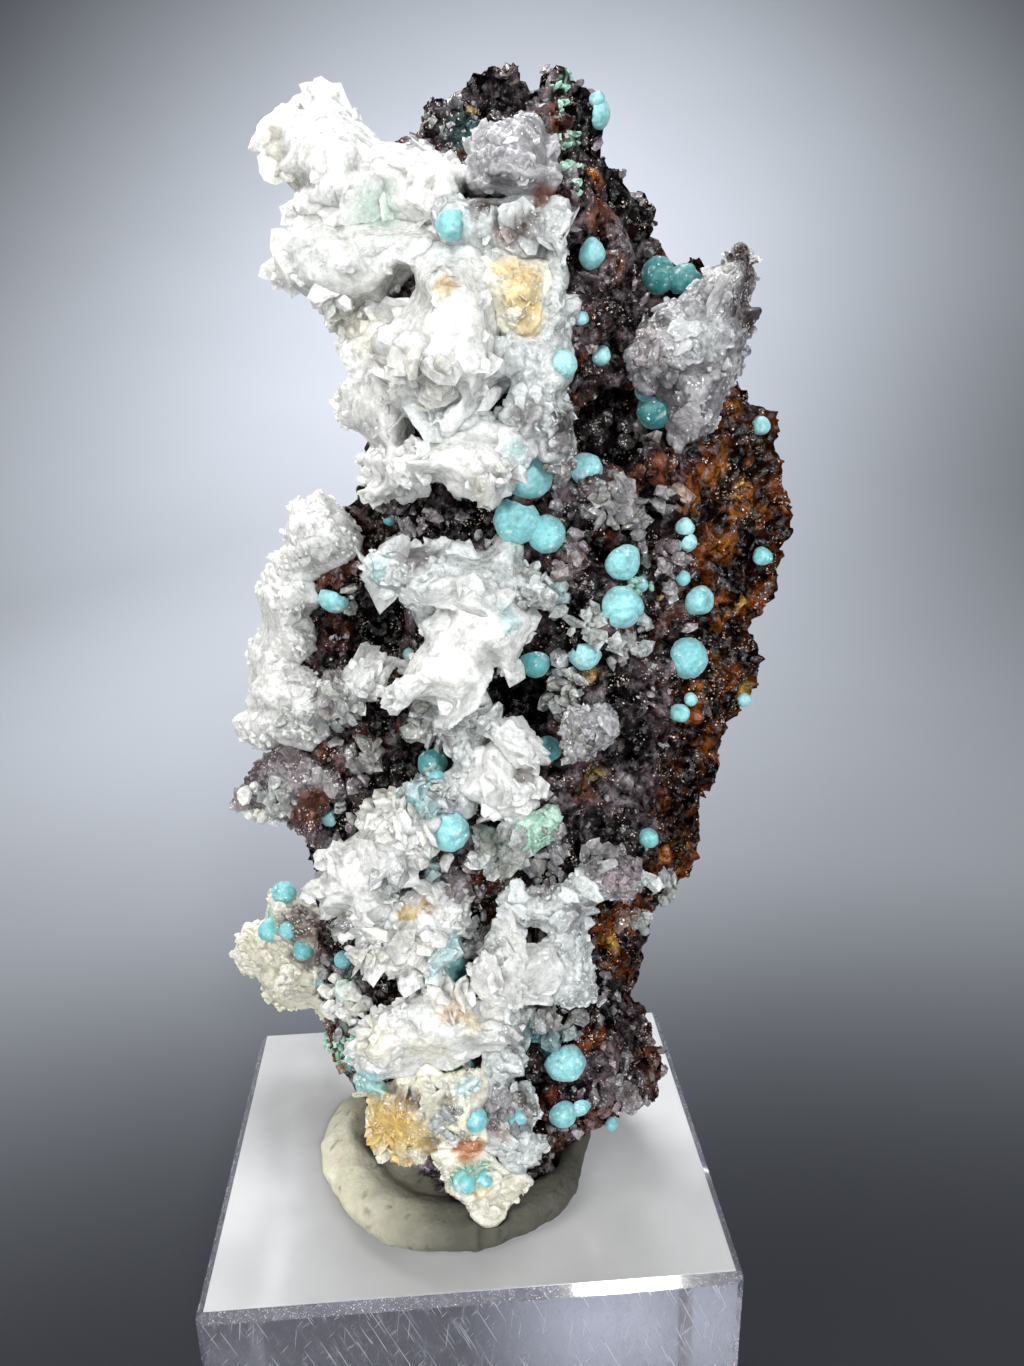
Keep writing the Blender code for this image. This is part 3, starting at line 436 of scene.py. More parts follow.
PATCHES = (
    # The cream patches on this line and the next are partly a cream tint and partly painted light where light shows
    # through the thin rims of the left fans.
    Patch("cream", 275, 135, 26, 0.7), Patch("cream", 290, 180, 22, 0.6), Patch("cream", 280, 262, 20, 0.5),
    Patch("cream", 365, 335, 26, 0.7), Patch("cream", 350, 325, 20, 0.7),
    Patch("mint", 380, 208, 26, 0.35), Patch("sky", 452, 224, 20, 0.8), Patch("gold", 444, 284, 14, 0.6),
    Patch("umber", 396, 300, 20, 0.9), Patch("gold", 524, 285, 26, 0.6), Patch("gold", 530, 320, 18, 0.5),
    Patch("gold", 505, 268, 14, 0.5), Patch("teal", 464, 132, 22, 0.9), Patch("ochre", 470, 112, 10, 0.8),
    Patch("mint", 562, 84, 9, 0.9), Patch("mint", 568, 140, 10, 0.9), Patch("mint", 570, 168, 10, 0.9),
    # The black patches, here and below, are painted shade in caves and pits.
    Patch("rust", 600, 180, 26, 0.8), Patch("black", 612, 198, 14, 0.8), Patch("black", 670, 266, 30, 0.9),
    Patch("orange", 596, 172, 13, 0.6), Patch("lilac", 620, 240, 24, 0.7), Patch("mauve", 600, 270, 24, 0.6),
    Patch("plum", 440, 138, 34, 0.7), Patch("plum", 500, 120, 24, 0.6), Patch("umber", 432, 196, 18, 0.7),
    Patch("mauve", 686, 322, 26, 0.6), Patch("plum", 748, 268, 16, 0.9), Patch("mauve", 418, 556, 26, 0.75),
    # The umber patch at 378, 594 is painted shade in the cave left of a ball.
    Patch("umber", 378, 594, 18, 0.7), Patch("plum", 342, 776, 18, 0.7), Patch("umber", 522, 774, 16, 0.7),
    Patch("gold", 385, 1128, 28, 0.7), Patch("rust", 402, 1102, 14, 0.7), Patch("rust", 440, 1150, 13, 0.7),
    Patch("orange", 468, 1146, 18, 0.7), Patch("gold", 398, 1168, 16, 0.7), Patch("peach", 450, 1012, 16, 0.5),
    Patch("sky", 470, 1084, 16, 0.6), Patch("turquoise", 548, 1040, 22, 0.5), Patch("sky", 352, 1072, 20, 0.5),
    Patch("rust", 648, 1050, 34, 0.6), Patch("rust", 600, 1120, 24, 0.6), Patch("umber", 660, 1010, 26, 0.6),
    Patch("umber", 745, 262, 22, 0.9), Patch("mauve", 738, 300, 20, 0.7), Patch("sky", 446, 950, 20, 0.6),
    Patch("mint", 520, 820, 20, 0.6), Patch("sky", 436, 868, 18, 0.6), Patch("turquoise", 420, 800, 16, 0.5),
    Patch("umber", 490, 208, 18, 0.85), Patch("rust", 586, 362, 18, 0.8), Patch("umber", 592, 402, 20, 0.8),
    Patch("umber", 760, 420, 36, 0.5), Patch("umber", 722, 440, 28, 0.5), Patch("plum", 750, 312, 20, 0.8),
    # The small umber patches round the foot, from v 1050 to 1150, are painted shade in the gaps between its bits.
    Patch("mauve", 656, 290, 22, 0.6), Patch("rust", 640, 1000, 22, 0.5), Patch("umber", 455, 1150, 10, 0.8),
    Patch("umber", 392, 1088, 9, 0.8), Patch("mint", 478, 1172, 12, 0.7), Patch("gold", 425, 902, 10, 0.6),
    Patch("umber", 415, 1098, 12, 0.7), Patch("umber", 448, 1102, 9, 0.7), Patch("umber", 520, 1095, 14, 0.7),
    Patch("umber", 432, 1140, 12, 0.8), Patch("black", 380, 945, 11, 0.7), Patch("umber", 362, 1050, 8, 0.6),
    Patch("plum", 562, 432, 26, 0.85), Patch("mauve", 528, 415, 16, 0.6), Patch("mauve", 450, 738, 14, 0.6),
    # The umber patch at 380, 590 is painted shade in the same cave.
    Patch("umber", 380, 590, 24, 0.8), Patch("rust", 470, 1060, 10, 0.6), Patch("umber", 500, 980, 12, 0.6),
    Patch("umber", 298, 925, 26, 0.85), Patch("plum", 306, 956, 18, 0.8), Patch("grey", 576, 916, 24, 0.7),
    Patch("rust", 508, 236, 14, 0.6), Patch("rust", 540, 190, 10, 0.6),
    Patch("black", 502, 100, 30, 0.6), Patch("black", 610, 425, 40, 0.8), Patch("black", 652, 528, 20, 0.9),
    Patch("black", 522, 694, 32, 0.8), Patch("umber", 378, 525, 34, 0.8), Patch("black", 375, 625, 34, 0.8),
    Patch("umber", 428, 424, 20, 0.85), Patch("rust", 412, 492, 12, 0.6), Patch("rust", 400, 668, 20, 0.7),
    Patch("rust", 312, 812, 26, 0.8), Patch("plum", 330, 650, 30, 0.6), Patch("sky", 380, 570, 16, 0.6),
    Patch("turquoise", 516, 452, 18, 0.5), Patch("sky", 512, 620, 18, 0.5), Patch("sky", 560, 595, 18, 0.5),
    Patch("turquoise", 448, 850, 18, 0.6), Patch("turquoise", 436, 770, 16, 0.6), Patch("sky", 420, 790, 18, 0.5),
    Patch("mint", 505, 820, 24, 0.5), Patch("gold", 594, 775, 13, 0.8), Patch("gold", 592, 676, 9, 0.7),
    Patch("orange", 614, 938, 20, 0.9), Patch("rust", 612, 925, 34, 0.8), Patch("gold", 614, 940, 9, 0.9),
    Patch("gold", 408, 915, 12, 0.7), Patch("rust", 432, 906, 12, 0.5), Patch("gold", 530, 936, 12, 0.6),
    Patch("rust", 545, 930, 12, 0.5), Patch("gold", 470, 1020, 16, 0.4), Patch("cream", 375, 1040, 26, 0.6),
    Patch("cream", 430, 1050, 24, 0.5), Patch("turquoise", 368, 1084, 18, 0.7), Patch("ochre", 398, 1130, 36, 0.8),
    Patch("gold", 398, 1118, 18, 0.6), Patch("orange", 468, 1142, 16, 0.7), Patch("rust", 500, 1130, 12, 0.5),
    Patch("mint", 465, 1178, 14, 0.8), Patch("gold", 480, 1190, 12, 0.5), Patch("turquoise", 530, 1040, 18, 0.4),
    Patch("gold", 738, 602, 9, 0.9), Patch("gold", 752, 600, 7, 0.9), Patch("gold", 745, 690, 12, 0.6),
    Patch("orange", 745, 500, 26, 0.7), Patch("gold", 742, 492, 12, 0.5), Patch("orange", 715, 470, 20, 0.6),
    Patch("orange", 690, 500, 18, 0.6), Patch("orange", 728, 545, 20, 0.6), Patch("gold", 662, 596, 7, 0.8),
    Patch("umber", 770, 440, 22, 0.5), Patch("gold", 672, 492, 8, 0.8), Patch("mint", 640, 583, 12, 0.8),
    Patch("mint", 270, 925, 18, 0.6), Patch("mint", 345, 985, 16, 0.5), Patch("mint", 340, 1045, 18, 0.7),
    Patch("ochre", 335, 1060, 14, 0.7), Patch("umber", 395, 990, 16, 0.6), Patch("sky", 450, 965, 20, 0.5),
    Patch("plum", 742, 250, 24, 0.9), Patch("mauve", 748, 300, 16, 0.8), Patch("umber", 745, 325, 10, 0.8),
    Patch("white", 720, 275, 22, 0.5), Patch("ice", 700, 330, 34, 0.6), Patch("white", 736, 362, 14, 0.7),
    Patch("mauve", 660, 400, 34, 0.7), Patch("lilac", 690, 430, 26, 0.6), Patch("mint", 562, 75, 6, 0.8),
    Patch("mint", 564, 108, 6, 0.8), Patch("mint", 574, 186, 7, 0.7), Patch("gold", 556, 66, 4, 0.7),
    Patch("mauve", 622, 1078, 40, 0.7), Patch("plum", 640, 1020, 40, 0.8), Patch("rust", 590, 1045, 20, 0.6),
    Patch("lilac", 615, 880, 26, 0.6), Patch("umber", 486, 1112, 14, 0.8),
    Patch("umber", 520, 226, 20, 0.9), Patch("rust", 546, 200, 17, 0.8), Patch("plum", 470, 196, 18, 0.8),
)


def placed_patches():
    """Return each patch as a colour's name, a place on the specimen, a radius in mm and a strength."""
    rows = []
    for patch in PATCHES:
        place, _, unit = seen_place(patch.u, patch.v)
        rows.append((patch.colour, place, patch.radius * unit, patch.strength))
    return rows


PLACED = placed_patches()


def patched(colours, points):
    """Lay the patches of colour over the colours of points."""
    wander = 0.4 * layered(points, 1.1, 300) + 0.35 * layered(points, 0.35, 305, 2)
    for colour, place, radius, strength in PLACED:
        close = np.linalg.norm(points - place, axis=1) / radius + wander
        colours = mixed(colours, PALETTE[colour], strength * (1 - blend(0.55, 1.15, close)))
    return colours


def cavities(points):
    """Return how deep each point lies in the black patches, from 0 to 1. The black of those patches is painted
    shade in the caves, and this depth also sinks the rock there.
    """
    deep = np.zeros(len(points))
    for colour, place, radius, strength in PLACED:
        if colour == "black":
            close = np.linalg.norm(points - place, axis=1) / radius
            deep = np.maximum(deep, strength * (1 - blend(0.3, 1.2, close)))
    return deep


# The rock's rusty side begins right of this line down the view.
RUST_LINE = ((655, 60), (640, 160), (655, 235), (735, 385), (702, 440), (672, 485), (690, 560), (690, 640),
             (668, 690), (680, 730), (658, 800), (650, 850), (600, 890), (588, 950), (625, 990), (680, 1060),
             (680, 1400))


def rust_share(points, normals):
    """Return how rusty the rock is at points: all of its back and its right side."""
    u, v, _ = in_view(points)
    line_v = np.array([mark[1] for mark in RUST_LINE], float)
    line_u = np.array([mark[0] for mark in RUST_LINE], float)
    past = u - np.interp(v, line_v, line_u) + 14 * layered(points, 1.6, 310)
    towards = -np.sum(normals * units(points - EYE), axis=1)
    return np.maximum(blend(-6, 8, past), 1 - blend(-0.25, 0.05, towards))


def rock_colours(points, normals, depth):
    """Return the rock's colours: dark druse in front and rust elsewhere, with black painted shade where it lies
    deep in pits and hollows.
    """
    front = mixed(np.tile(PALETTE["plum"], (len(points), 1)), PALETTE["mauve"],
                  blend(-0.1, 0.4, layered(points, 1.3, 320)))
    front = mixed(front, PALETTE["rust"], 0.6 * blend(0.2, 0.55, layered(points, 2.0, 322)))
    front = mixed(front, PALETTE["lilac"], 0.75 * blend(0.2, 0.6, layered(points, 2.1, 325)))
    front = mixed(front, PALETTE["black"], 0.95 * blend(-0.1, 0.25, layered(points, 2.2, 328)))
    rust = mixed(np.tile(PALETTE["umber"], (len(points), 1)), PALETTE["rust"],
                 blend(-0.2, 0.35, layered(points, 1.7, 330)))
    rust = mixed(rust, PALETTE["orange"], 0.8 * blend(0.25, 0.65, layered(points, 1.5, 340)))
    rust = mixed(rust, PALETTE["black"], 0.95 * blend(-0.05, 0.25, layered(points, 1.6, 350)))
    rust = mixed(rust, PALETTE["black"], 0.9 * blend(0.1, 0.35, layered(points, 0.7, 352)))
    colours = mixed(front, rust, rust_share(points, normals))
    colours = patched(colours, points)
    # Painted shade: black mixed in by how deep the point lies in a pit or hollow.
    return mixed(colours, PALETTE["black"], 0.92 * blend(0.0, 1.0, depth))


# How each crystal node has grown: its colour, the place in the view that it grows away from, or None for
# a lump, the size of its petals in mm, how far they lift off and its crust.
Growth = namedtuple("Growth", "colour root plate lift crust")

# A crust of small crystals: their length in mm, their number per square mm and how far they lean.
Crust = namedtuple("Crust", "length density lean")
SPARKS = Crust(0.34, 1.6, 0.6)

GROWTHS = {
    "calcite_top_fan": Growth("white", (500, 195), 4.4, 0.07, None),
    "calcite_second_fan": Growth("white", (470, 250), 4.4, 0.07, None),
    "calcite_left_ruffle": Growth("white", (430, 410), 2.2, 0.20, None),
    "calcite_centre_boss": Growth("white", (540, 310), 4.0, 0.10, None),
    "calcite_shelf": Growth("white", (560, 480), 3.2, 0.11, None),
    "calcite_shelf_wedge": Growth("ice", (530, 430), 2.4, 0.11, None),
    "calcite_stained_face": Growth("cream", (560, 300), 1.6, 0.09, None),
    "calcite_collar": Growth("ice", None, 1.6, 0.4, None),
    "calcite_grey_crown": Growth("grey", (520, 230), 1.8, 0.14, None),
    "calcite_ridge_column": Growth("ice", None, 1.5, 0.4, None),
    "calcite_left_knob": Growth("white", (360, 600), 1.4, 0.20, None),
    "calcite_left_wall": Growth("white", (400, 680), 1.6, 0.20, None),
    "calcite_left_blade": Growth("white", (300, 740), 2.4, 0.09, None),
    "calcite_middle_plates": Growth("ice", (640, 620), 3.0, 0.11, None),
    "calcite_flower": Growth("white", (540, 640), 3.6, 0.12, None),
    "calcite_lower_blade": Growth("white", (470, 690), 3.0, 0.10, None),
    "calcite_lower_plate": Growth("white", (560, 760), 3.0, 0.10, None),
    "calcite_lower_wedges": Growth("ice", (540, 760), 1.9, 0.14, None),
    "calcite_lower_fan": Growth("white", (500, 810), 3.4, 0.15, None),
    "calcite_small_crystals": Growth("white", None, 1.5, 0.4, None),
    "calcite_right_sheet": Growth("ice", None, 1.2, 0.4, None),
    "calcite_cascade": Growth("white", (470, 1040), 2.3, 0.34, None),
    "calcite_foot_mass": Growth("white", (480, 1090), 2.2, 0.34, None),
    "calcite_foot_right": Growth("ice", None, 1.5, 0.4, None),
    "calcite_foot_ochre": Growth("cream", None, 1.3, 0.4, None),
    "calcite_foot_tip": Growth("cream", None, 1.5, 0.4, None),
    "calcite_back_cluster": Growth("cream", (400, 980), 1.3, 0.26, None),
    "druse_right_blade": Growth("grey", None, 1.8, 0.4, SPARKS),
    "druse_left_lumps": Growth("mauve", None, 1.3, 0.4, SPARKS),
    "druse_grey_lump": Growth("grey", None, 1.2, 0.4, SPARKS),
    "rosasite_mass": Growth("mint", None, 0.7, 0.5, None),
}

COARSE_VOXEL = 0.35
CRYSTAL_VOXEL = 0.2
PETAL_COVER = 0.4
RIM_COVER = 2.0
RIM_LENGTH = 0.42
LEAF_COVER = 1.15
LEAF_CORNERS = 22
LEAF_THICKNESS = 0.14
LEAF_LIFT = 0.2
TWIG_COVER = 2.4
TWIG_CORNERS = 12
TWIG_LENGTH = 0.34
PETAL_THICKNESS = 0.30
LUMP_LEAN = 0.55
SUGAR_RELIEF = 0.04
STRIAE = 0.05
TOOTH = 0.15
CONTACT = 0.8
SWELL = 0.3
BALL_CLEARANCE = 0.6

BALLS = [name for name in frame["nodes"] if name.startswith("aurichalcite")]
ball_tree = surface_tree(BALLS)


def fan_space(points, root, stretch):
    """Return points squeezed towards a root, so that patterns in them run away from it."""
    away = points - root
    reach = np.linalg.norm(away, axis=1)
    middle = reach.mean()
    return away / reach[:, None] * (middle + (reach - middle) / stretch)[:, None]


def crystal_colours(base, points):
    """Return the colours of a crystal mass: its own colour, cloudier and clearer in places."""
    rows = np.tile(PALETTE[base], (len(points), 1))
    cloud = layered(points, 2.2, 400)
    rows = mixed(rows, PALETTE["white"], 0.3 * blend(0.1, 0.7, cloud))
    rows = mixed(rows, PALETTE["ice"], 0.3 * blend(0.1, 0.7, -cloud))
    return patched(rows, points)


def neighbours(node):
    """Return a search tree over every CAD node but one."""
    return surface_tree([name for name in frame["nodes"] if name not in (node, "acrylic_block")])


def swollen(points, tree):
    """Return how far to swell each point, so that the narrow gaps to neighbours close."""
    return SWELL * (1 - blend(0.35, CONTACT, distances(points, tree, CONTACT)))


def open_places(places, out, tree):
    """Tell which places are neither hidden against a neighbour nor in front of a ball."""
    free = distances(places + out * 0.15, tree, CONTACT) > 0.3
    return free & (distances(places, ball_tree, CONTACT) > BALL_CLEARANCE)


def petals(base, root, length, lift, cover, chance, wanted=None):
    """Return thin plates over a base that run away from a root, or every way without one."""
    places, out = sampled(base.points, base.faces, cover / length ** 2, chance, wanted)
    stray = chance.normal(size=(len(places), 3))
    if root is None:
        axes = units(out + stray * LUMP_LEAN)
        over = chance.normal(size=(len(places), 3))
    else:
        away = units(places - root)
        along = units(away - out * np.sum(away * out, axis=1)[:, None] + away * 0.25)
        axes = units(along + out * lift + stray * 0.13)
        over = out - along * lift + chance.normal(size=(len(places), 3)) * 0.13
    long = length * chance.uniform(0.5, 1.3, len(places))
    thick = np.full(len(places), PETAL_THICKNESS)
    sizes = np.stack((long * chance.uniform(0.6, 0.95, len(places)), thick, long), axis=1)
    return places, out, grown(PETAL, places - out * 0.1, axes, units(over), sizes)


def stubs(base, crust, wanted, chance):
    """Return blunt crystals that stand on a base, and where each one sits."""
    places, out = sampled(base.points, base.faces, crust.density, chance, wanted)
    count = len(places)
    axes = units(out + chance.normal(size=(count, 3)) * crust.lean)
    over = chance.normal(size=(count, 3))
    long = crust.length * (0.4 + 1.3 * chance.random(count) ** 2.5)
    sizes = np.stack((long * 0.8, long * 0.75, long), axis=1) * chance.uniform(0.75, 1.25, (count, 3))
    return places, out, grown(STUB, places - out * 0.15 * long[:, None], axes, over, sizes)


def kept_crystals(crystals, kept, colours):
    """Return the marked ones of a set of small crystals as a part, with a colour for each."""
    points, faces = crystals
    corners = len(points) // len(kept)
    kept_points = points.reshape(-1, corners, 3)[kept].reshape(-1, 3)
    per_crystal = len(faces) // len(kept)
    return Part(
        kept_points, faces[:int(kept.sum()) * per_crystal], np.repeat(colours, corners, axis=0), False)


def painted_light_shade_and_streaks(points, normals, faces, root, seed):
    """Return a factor for each point's colour: painted highlight on the rims of leaves, painted shade in the
    hollows between them, and grey streaks in the calcite's grain.
    """
    wide = relief(points, normals, faces, 14)
    fine = relief(points, normals, faces, 3)
    streak = lumps(fan_space(points, root, 6.0), 0.22, seed)
    shade = 1 - 0.16 * blend(0.0, 0.22, -wide) + 0.04 * blend(0.0, 0.15, wide)
    return shade - 0.12 * blend(0.0, 0.05, -fine) - 0.06 * blend(0.1, 0.6, streak)


def plates(places, axes, over, length, corners, growth, tree, chance):
    """Return ragged plates as a part, without those that would stand before a ball."""
    tips = places + axes * (0.5 * length[:, None])
    clear = distances(tips, ball_tree, CONTACT) > 0.3
    clear &= distances(places, ball_tree, 2.5) > 0.3 + 0.5 * length
    places, axes, over, length = places[clear], axes[clear], over[clear], length[clear]
    count = len(places)
    thick = np.full(count, LEAF_THICKNESS)
    sizes = np.stack((length * chance.uniform(0.65, 1.0, count), thick, length), axis=1)
    points, faces = grown(ragged(count, corners, chance), places, axes, over, sizes)
    # Painted highlight on each plate's rim and painted shade towards its middle.
    painted_rim_light_and_shade = np.concatenate((np.full(corners, 1.07), np.full(corners, 0.97), np.full(2, 0.9)))
    shade = (chance.uniform(0.9, 1.04, (count, 1)) * painted_rim_light_and_shade).reshape(-1, 1)
    return Part(points, faces, crystal_colours(growth.colour, points) * shade, False)


def leaves(base, rims, fan, growth, tree, chance):
    """Return broad ragged leaves over a crystal mass and small ones that stand out of its rims."""
    parts = []
    for length, cover, wanted, corners in ((growth.plate, LEAF_COVER, None, LEAF_CORNERS),
                                           (growth.plate * TWIG_LENGTH, TWIG_COVER, rims, TWIG_CORNERS)):
        places, out = sampled(base.points, base.faces, cover / length ** 2, chance, wanted)
        shown = open_places(places, out, tree)
        places, out = places[shown], out[shown]
        long = length * (0.5 + chance.random(len(places)) ** 1.5)
        stray = chance.normal(size=places.shape)
        towards = units(EYE - places)
        away = stray if fan is None else units(places - fan)
        away = units(away - out * np.sum(away * out, axis=1)[:, None])
        if wanted is None:
            flat = blend(0.2, 0.7, np.sum(out * towards, axis=1))
            axes = units(away + out * growth.lift + stray * 0.12)
            facing = towards * (0.2 + 0.6 * (1 - flat))[:, None]
            over = out * 0.8 + facing - away * growth.lift + chance.normal(size=places.shape) * 0.12
            places = places + out * (LEAF_LIFT * flat - 0.3 * long * (1 - flat))[:, None]
        else:
            axes = units(out * 0.7 + away * 0.5 + stray * 0.25)
            over = towards + chance.normal(size=places.shape) * 0.4
        parts.append(plates(places, axes, over, long, corners, growth, tree, chance))
    return parts


def crystal_body(node, growth, root, tree, chance, seed):
    """Return a copy of a crystal node with petals fused to it, and the loose leaves over it."""
    points, normals, faces = remeshed(node, COARSE_VOXEL)
    coarse = Part(points, faces, None, True)
    rims = blend(0.0, 0.25, relief(points, normals, faces, 6))[faces].mean(axis=1)
    fan = root if growth.root else None
    loose = []
    for length, cover, wanted in ((growth.plate, PETAL_COVER, None),
                                  (growth.plate * RIM_LENGTH, RIM_COVER * RIM_LENGTH, rims)):
        places, out, crystals = petals(coarse, fan, length, growth.lift, cover, chance, wanted)
        shown = open_places(places, out, tree)
        loose.append(kept_crystals(crystals, shown, np.ones((int(shown.sum()), 3))))
    points, normals, faces = fused([merged_copy(node), written(node + "_loose", joined(loose))], CRYSTAL_VOXEL)
    away = units(points - root)
    rim = blend(0.05, 0.25, relief(points, normals, faces, 10))
    height = swollen(points, tree) + SUGAR_RELIEF * layered(points, 0.4, seed, 2)
    height += STRIAE * lumps(fan_space(points, root, 5.0), 0.3, seed + 90)
    tooth = TOOTH * rim * lumps(fan_space(points, root, 3.0), 0.34, seed + 91)
    points = points + normals * height[:, None] + away * tooth[:, None]
    # The body's colours carry painted highlight on the leaf rims and painted shade in its hollows.
    shade = painted_light_shade_and_streaks(points, normals, faces, root, seed + 92)
    body = Part(points, faces, crystal_colours(growth.colour, points) * shade[:, None], True)
    return body, leaves(coarse, rims, fan, growth, tree, chance)


def dress_crystal(node, growth, material, seed):
    """Grow petals and small crystals over a copy of one crystal node, and return its loose leaves."""
    chance = np.random.default_rng(seed)
    tree = neighbours(node)
    root = np.mean([vertex.co for vertex in frame["nodes"][node].data.vertices], axis=0) / MM
    if growth.root:
        ray = sight(*growth.root)
        root = EYE + ray * ((root - EYE) @ FORWARD / (ray @ FORWARD))
    body, loose = crystal_body(node, growth, root, tree, chance, seed)
    parts = [body]
    if growth.crust:
        places, out, crystals = stubs(parts[0], growth.crust, None, chance)
        shown = open_places(places, out, tree)
        tint = crystal_colours(growth.colour, places) * chance.uniform(0.7, 1.15, (len(places), 1))
        parts.append(kept_crystals(crystals, shown, tint[shown]))
    piece = written(node + "_grown", joined(parts))
    place_piece(piece, [node], material)
    return loose


def slot_of(node):
    """Return the record's material slot of a CAD node."""
    for row in frame["record"]["subparts"]:
        if row["node"] == node:
            return row["material_slot"]
    raise ValueError(node)


ROCK_VOXEL = 0.32
PIT_SIZE = 1.5
PIT_DEPTH = 0.85
CAVITY_DEPTH = 1.6
RUST_GRAINS = Crust(0.26, 1.5, 0.6)
DRUSE_GRAINS = Crust(0.42, 3.4, 0.6)
SCATTER_COVER = 1.3
SCATTER_LENGTH = 0.75


def pits(points, size, seed):
    """Return how deep each point lies in a scatter of round pits, from 0 to 1."""
    wander = np.stack([layered(points, 0.5 * size, seed + axis) for axis in range(3)], axis=1)
    near, _, _, owner = cells(points + 0.3 * size * wander, size, seed + 10)
    return (1 - blend(0.25, 0.55, near / size)) * (hashed(owner, seed + 20) > 0.25)


def rock_body(tree):
    """Return a copy of the rock broken up by pits, ledges and lumps."""
    points, normals, faces = remeshed("limonite_rock", ROCK_VOXEL)
    rust = rust_share(points, normals)
    pit = np.maximum(pits(points, PIT_SIZE, 360), 0.6 * pits(points, 0.55 * PIT_SIZE, 370))
    height = swollen(points, tree) + 0.35 * layered(points, 2.6, 380) + facets(points, 1.5, 390, 0.3)
    height += rust * (0.22 * layered(points, 0.9, 400) - PIT_DEPTH * pit)
    height -= (1 - rust) * (0.6 * blend(0.1, 0.7, layered(points, 1.8, 405)) + 0.5 * pit)
    height -= CAVITY_DEPTH * cavities(points)
    height += 0.12 * lumps(points, 0.6, 410)
    points = points + normals * height[:, None]
    # The hollows and pits set the black painted shade in the rock's colours.
    hollow = blend(0.05, 0.55, -relief(points, normals, faces, 16))
    return Part(points, faces, rock_colours(points, normals, np.maximum(0.8 * pit, hollow)), True), hollow


def dress_rock(limonite, druse):
    """Give the rock its broken surface, its rusty grains and the druse on its front.

    Return places for larger crystals on its front, and which way is out there.
    """
    chance = np.random.default_rng(77)
    tree = neighbours("limonite_rock")
    base, hollow = rock_body(tree)
    shallow = 1 - hollow[base.faces].mean(axis=1)
    places, out, grains = stubs(base, RUST_GRAINS, shallow, chance)
    shown = open_places(places, out, tree) & (chance.random(len(places)) < rust_share(places, out))
    tint = rock_colours(places, out, np.zeros(len(places))) * chance.uniform(0.6, 2.2, (len(places), 1))
    piece = written("limonite_rock_broken", joined([base, kept_crystals(grains, shown, tint[shown])]))
    place_piece(piece, ["limonite_rock"], limonite)
    patchy = blend(-0.2, 0.3, layered(base.points, 1.8, 415))[base.faces].mean(axis=1)
    places, out, grains = stubs(base, DRUSE_GRAINS, shallow * patchy, chance)
    # The druse grains in the black patches get the same black painted shade.
    tint = rock_colours(places, out, 0.9 * cavities(places))
    shown = open_places(places, out, tree) & (chance.random(len(places)) > rust_share(places, out))
    shown &= tint.max(axis=1) > 0.02
    clear = chance.random(len(places)) ** 2 * blend(-0.3, 0.5, layered(places, 1.7, 420))
    tint = mixed(tint, PALETTE["ice"], clear)
    piece = written("rock_druse", kept_crystals(grains, shown, tint[shown]))
    place_piece(piece, [], druse)
    clumps = shallow * (1 - cavities(base.points))[base.faces].mean(axis=1)
    clumps *= blend(0.0, 0.5, layered(base.points, 2.4, 430))[base.faces].mean(axis=1)
    places, out = sampled(base.points, base.faces, SCATTER_COVER, chance, clumps)
    shown = open_places(places, out, tree) & (rust_share(places, out) < 0.4)
    return places[shown], out[shown]


# Clusters of clear crystals on the rock: a place in the view, a radius there, a colour and a length in mm.
CLUSTERS = (
    (596, 424, 15, "mauve", 0.8), (640, 432, 22, "lilac", 0.8), (610, 500, 26, "grey", 1.0),
    (565, 552, 24, "lilac", 0.9), (563, 690, 20, "ice", 0.9), (366, 752, 18, "grey", 0.9),
    (276, 800, 22, "ice", 0.9), (240, 806, 14, "white", 0.8), (475, 712, 22, "ice", 1.0),
    (430, 790, 24, "ice", 1.0), (395, 815, 26, "white", 1.1), (542, 878, 20, "grey", 0.9),
    (465, 880, 24, "lilac", 0.8), (385, 945, 26, "white", 1.4), (430, 960, 26, "white", 1.4),
    (350, 1005, 20, "white", 1.1), (510, 1110, 20, "grey", 1.0),
    (450, 1120, 18, "ice", 0.8), (560, 470, 14, "grey", 0.8), (525, 590, 20, "ice", 0.8),
    (625, 880, 22, "lilac", 0.8), (600, 860, 18, "grey", 0.9), (575, 745, 14, "grey", 0.8),
    (620, 640, 16, "lilac", 0.7), (330, 690, 20, "lilac", 0.7),
    (655, 345, 20, "lilac", 0.8), (300, 720, 16, "ice", 0.8), (595, 632, 24, "ice", 1.0),
    (560, 664, 16, "ice", 0.9), (522, 1026, 20, "ice", 1.1), (560, 1024, 20, "grey", 1.0),
    (430, 850, 20, "white", 1.1), (500, 848, 26, "ice", 1.1), (550, 842, 16, "grey", 0.9),
    (394, 884, 20, "ice", 1.1), (486, 934, 24, "ice", 1.1), (342, 992, 14, "white", 1.0),
    (450, 992, 18, "white", 1.2), (632, 918, 16, "ice", 0.9), (668, 500, 16, "grey", 0.8),
    (666, 560, 16, "lilac", 0.8), (630, 522, 14, "grey", 0.8), (414, 522, 16, "lilac", 0.8),
    (342, 594, 14, "ice", 0.9), (342, 704, 20, "ice", 1.0), (428, 722, 22, "ice", 1.0),
    (342, 812, 12, "ice", 0.8), (262, 812, 12, "white", 0.8), (414, 380, 30, "white", 1.3),
    (594, 270, 12, "lilac", 0.8), (500, 486, 20, "white", 1.1), (380, 1150, 18, "cream", 0.9),
    (628, 632, 20, "ice", 1.0), (558, 594, 14, "ice", 0.9), (668, 594, 12, "grey", 0.8),
    (664, 884, 16, "ice", 0.9), (342, 918, 14, "grey", 0.9), (342, 306, 16, "white", 1.0),
    (486, 954, 16, "white", 1.2), (560, 1060, 16, "ice", 1.0), (630, 1098, 16, "lilac", 0.9),
)
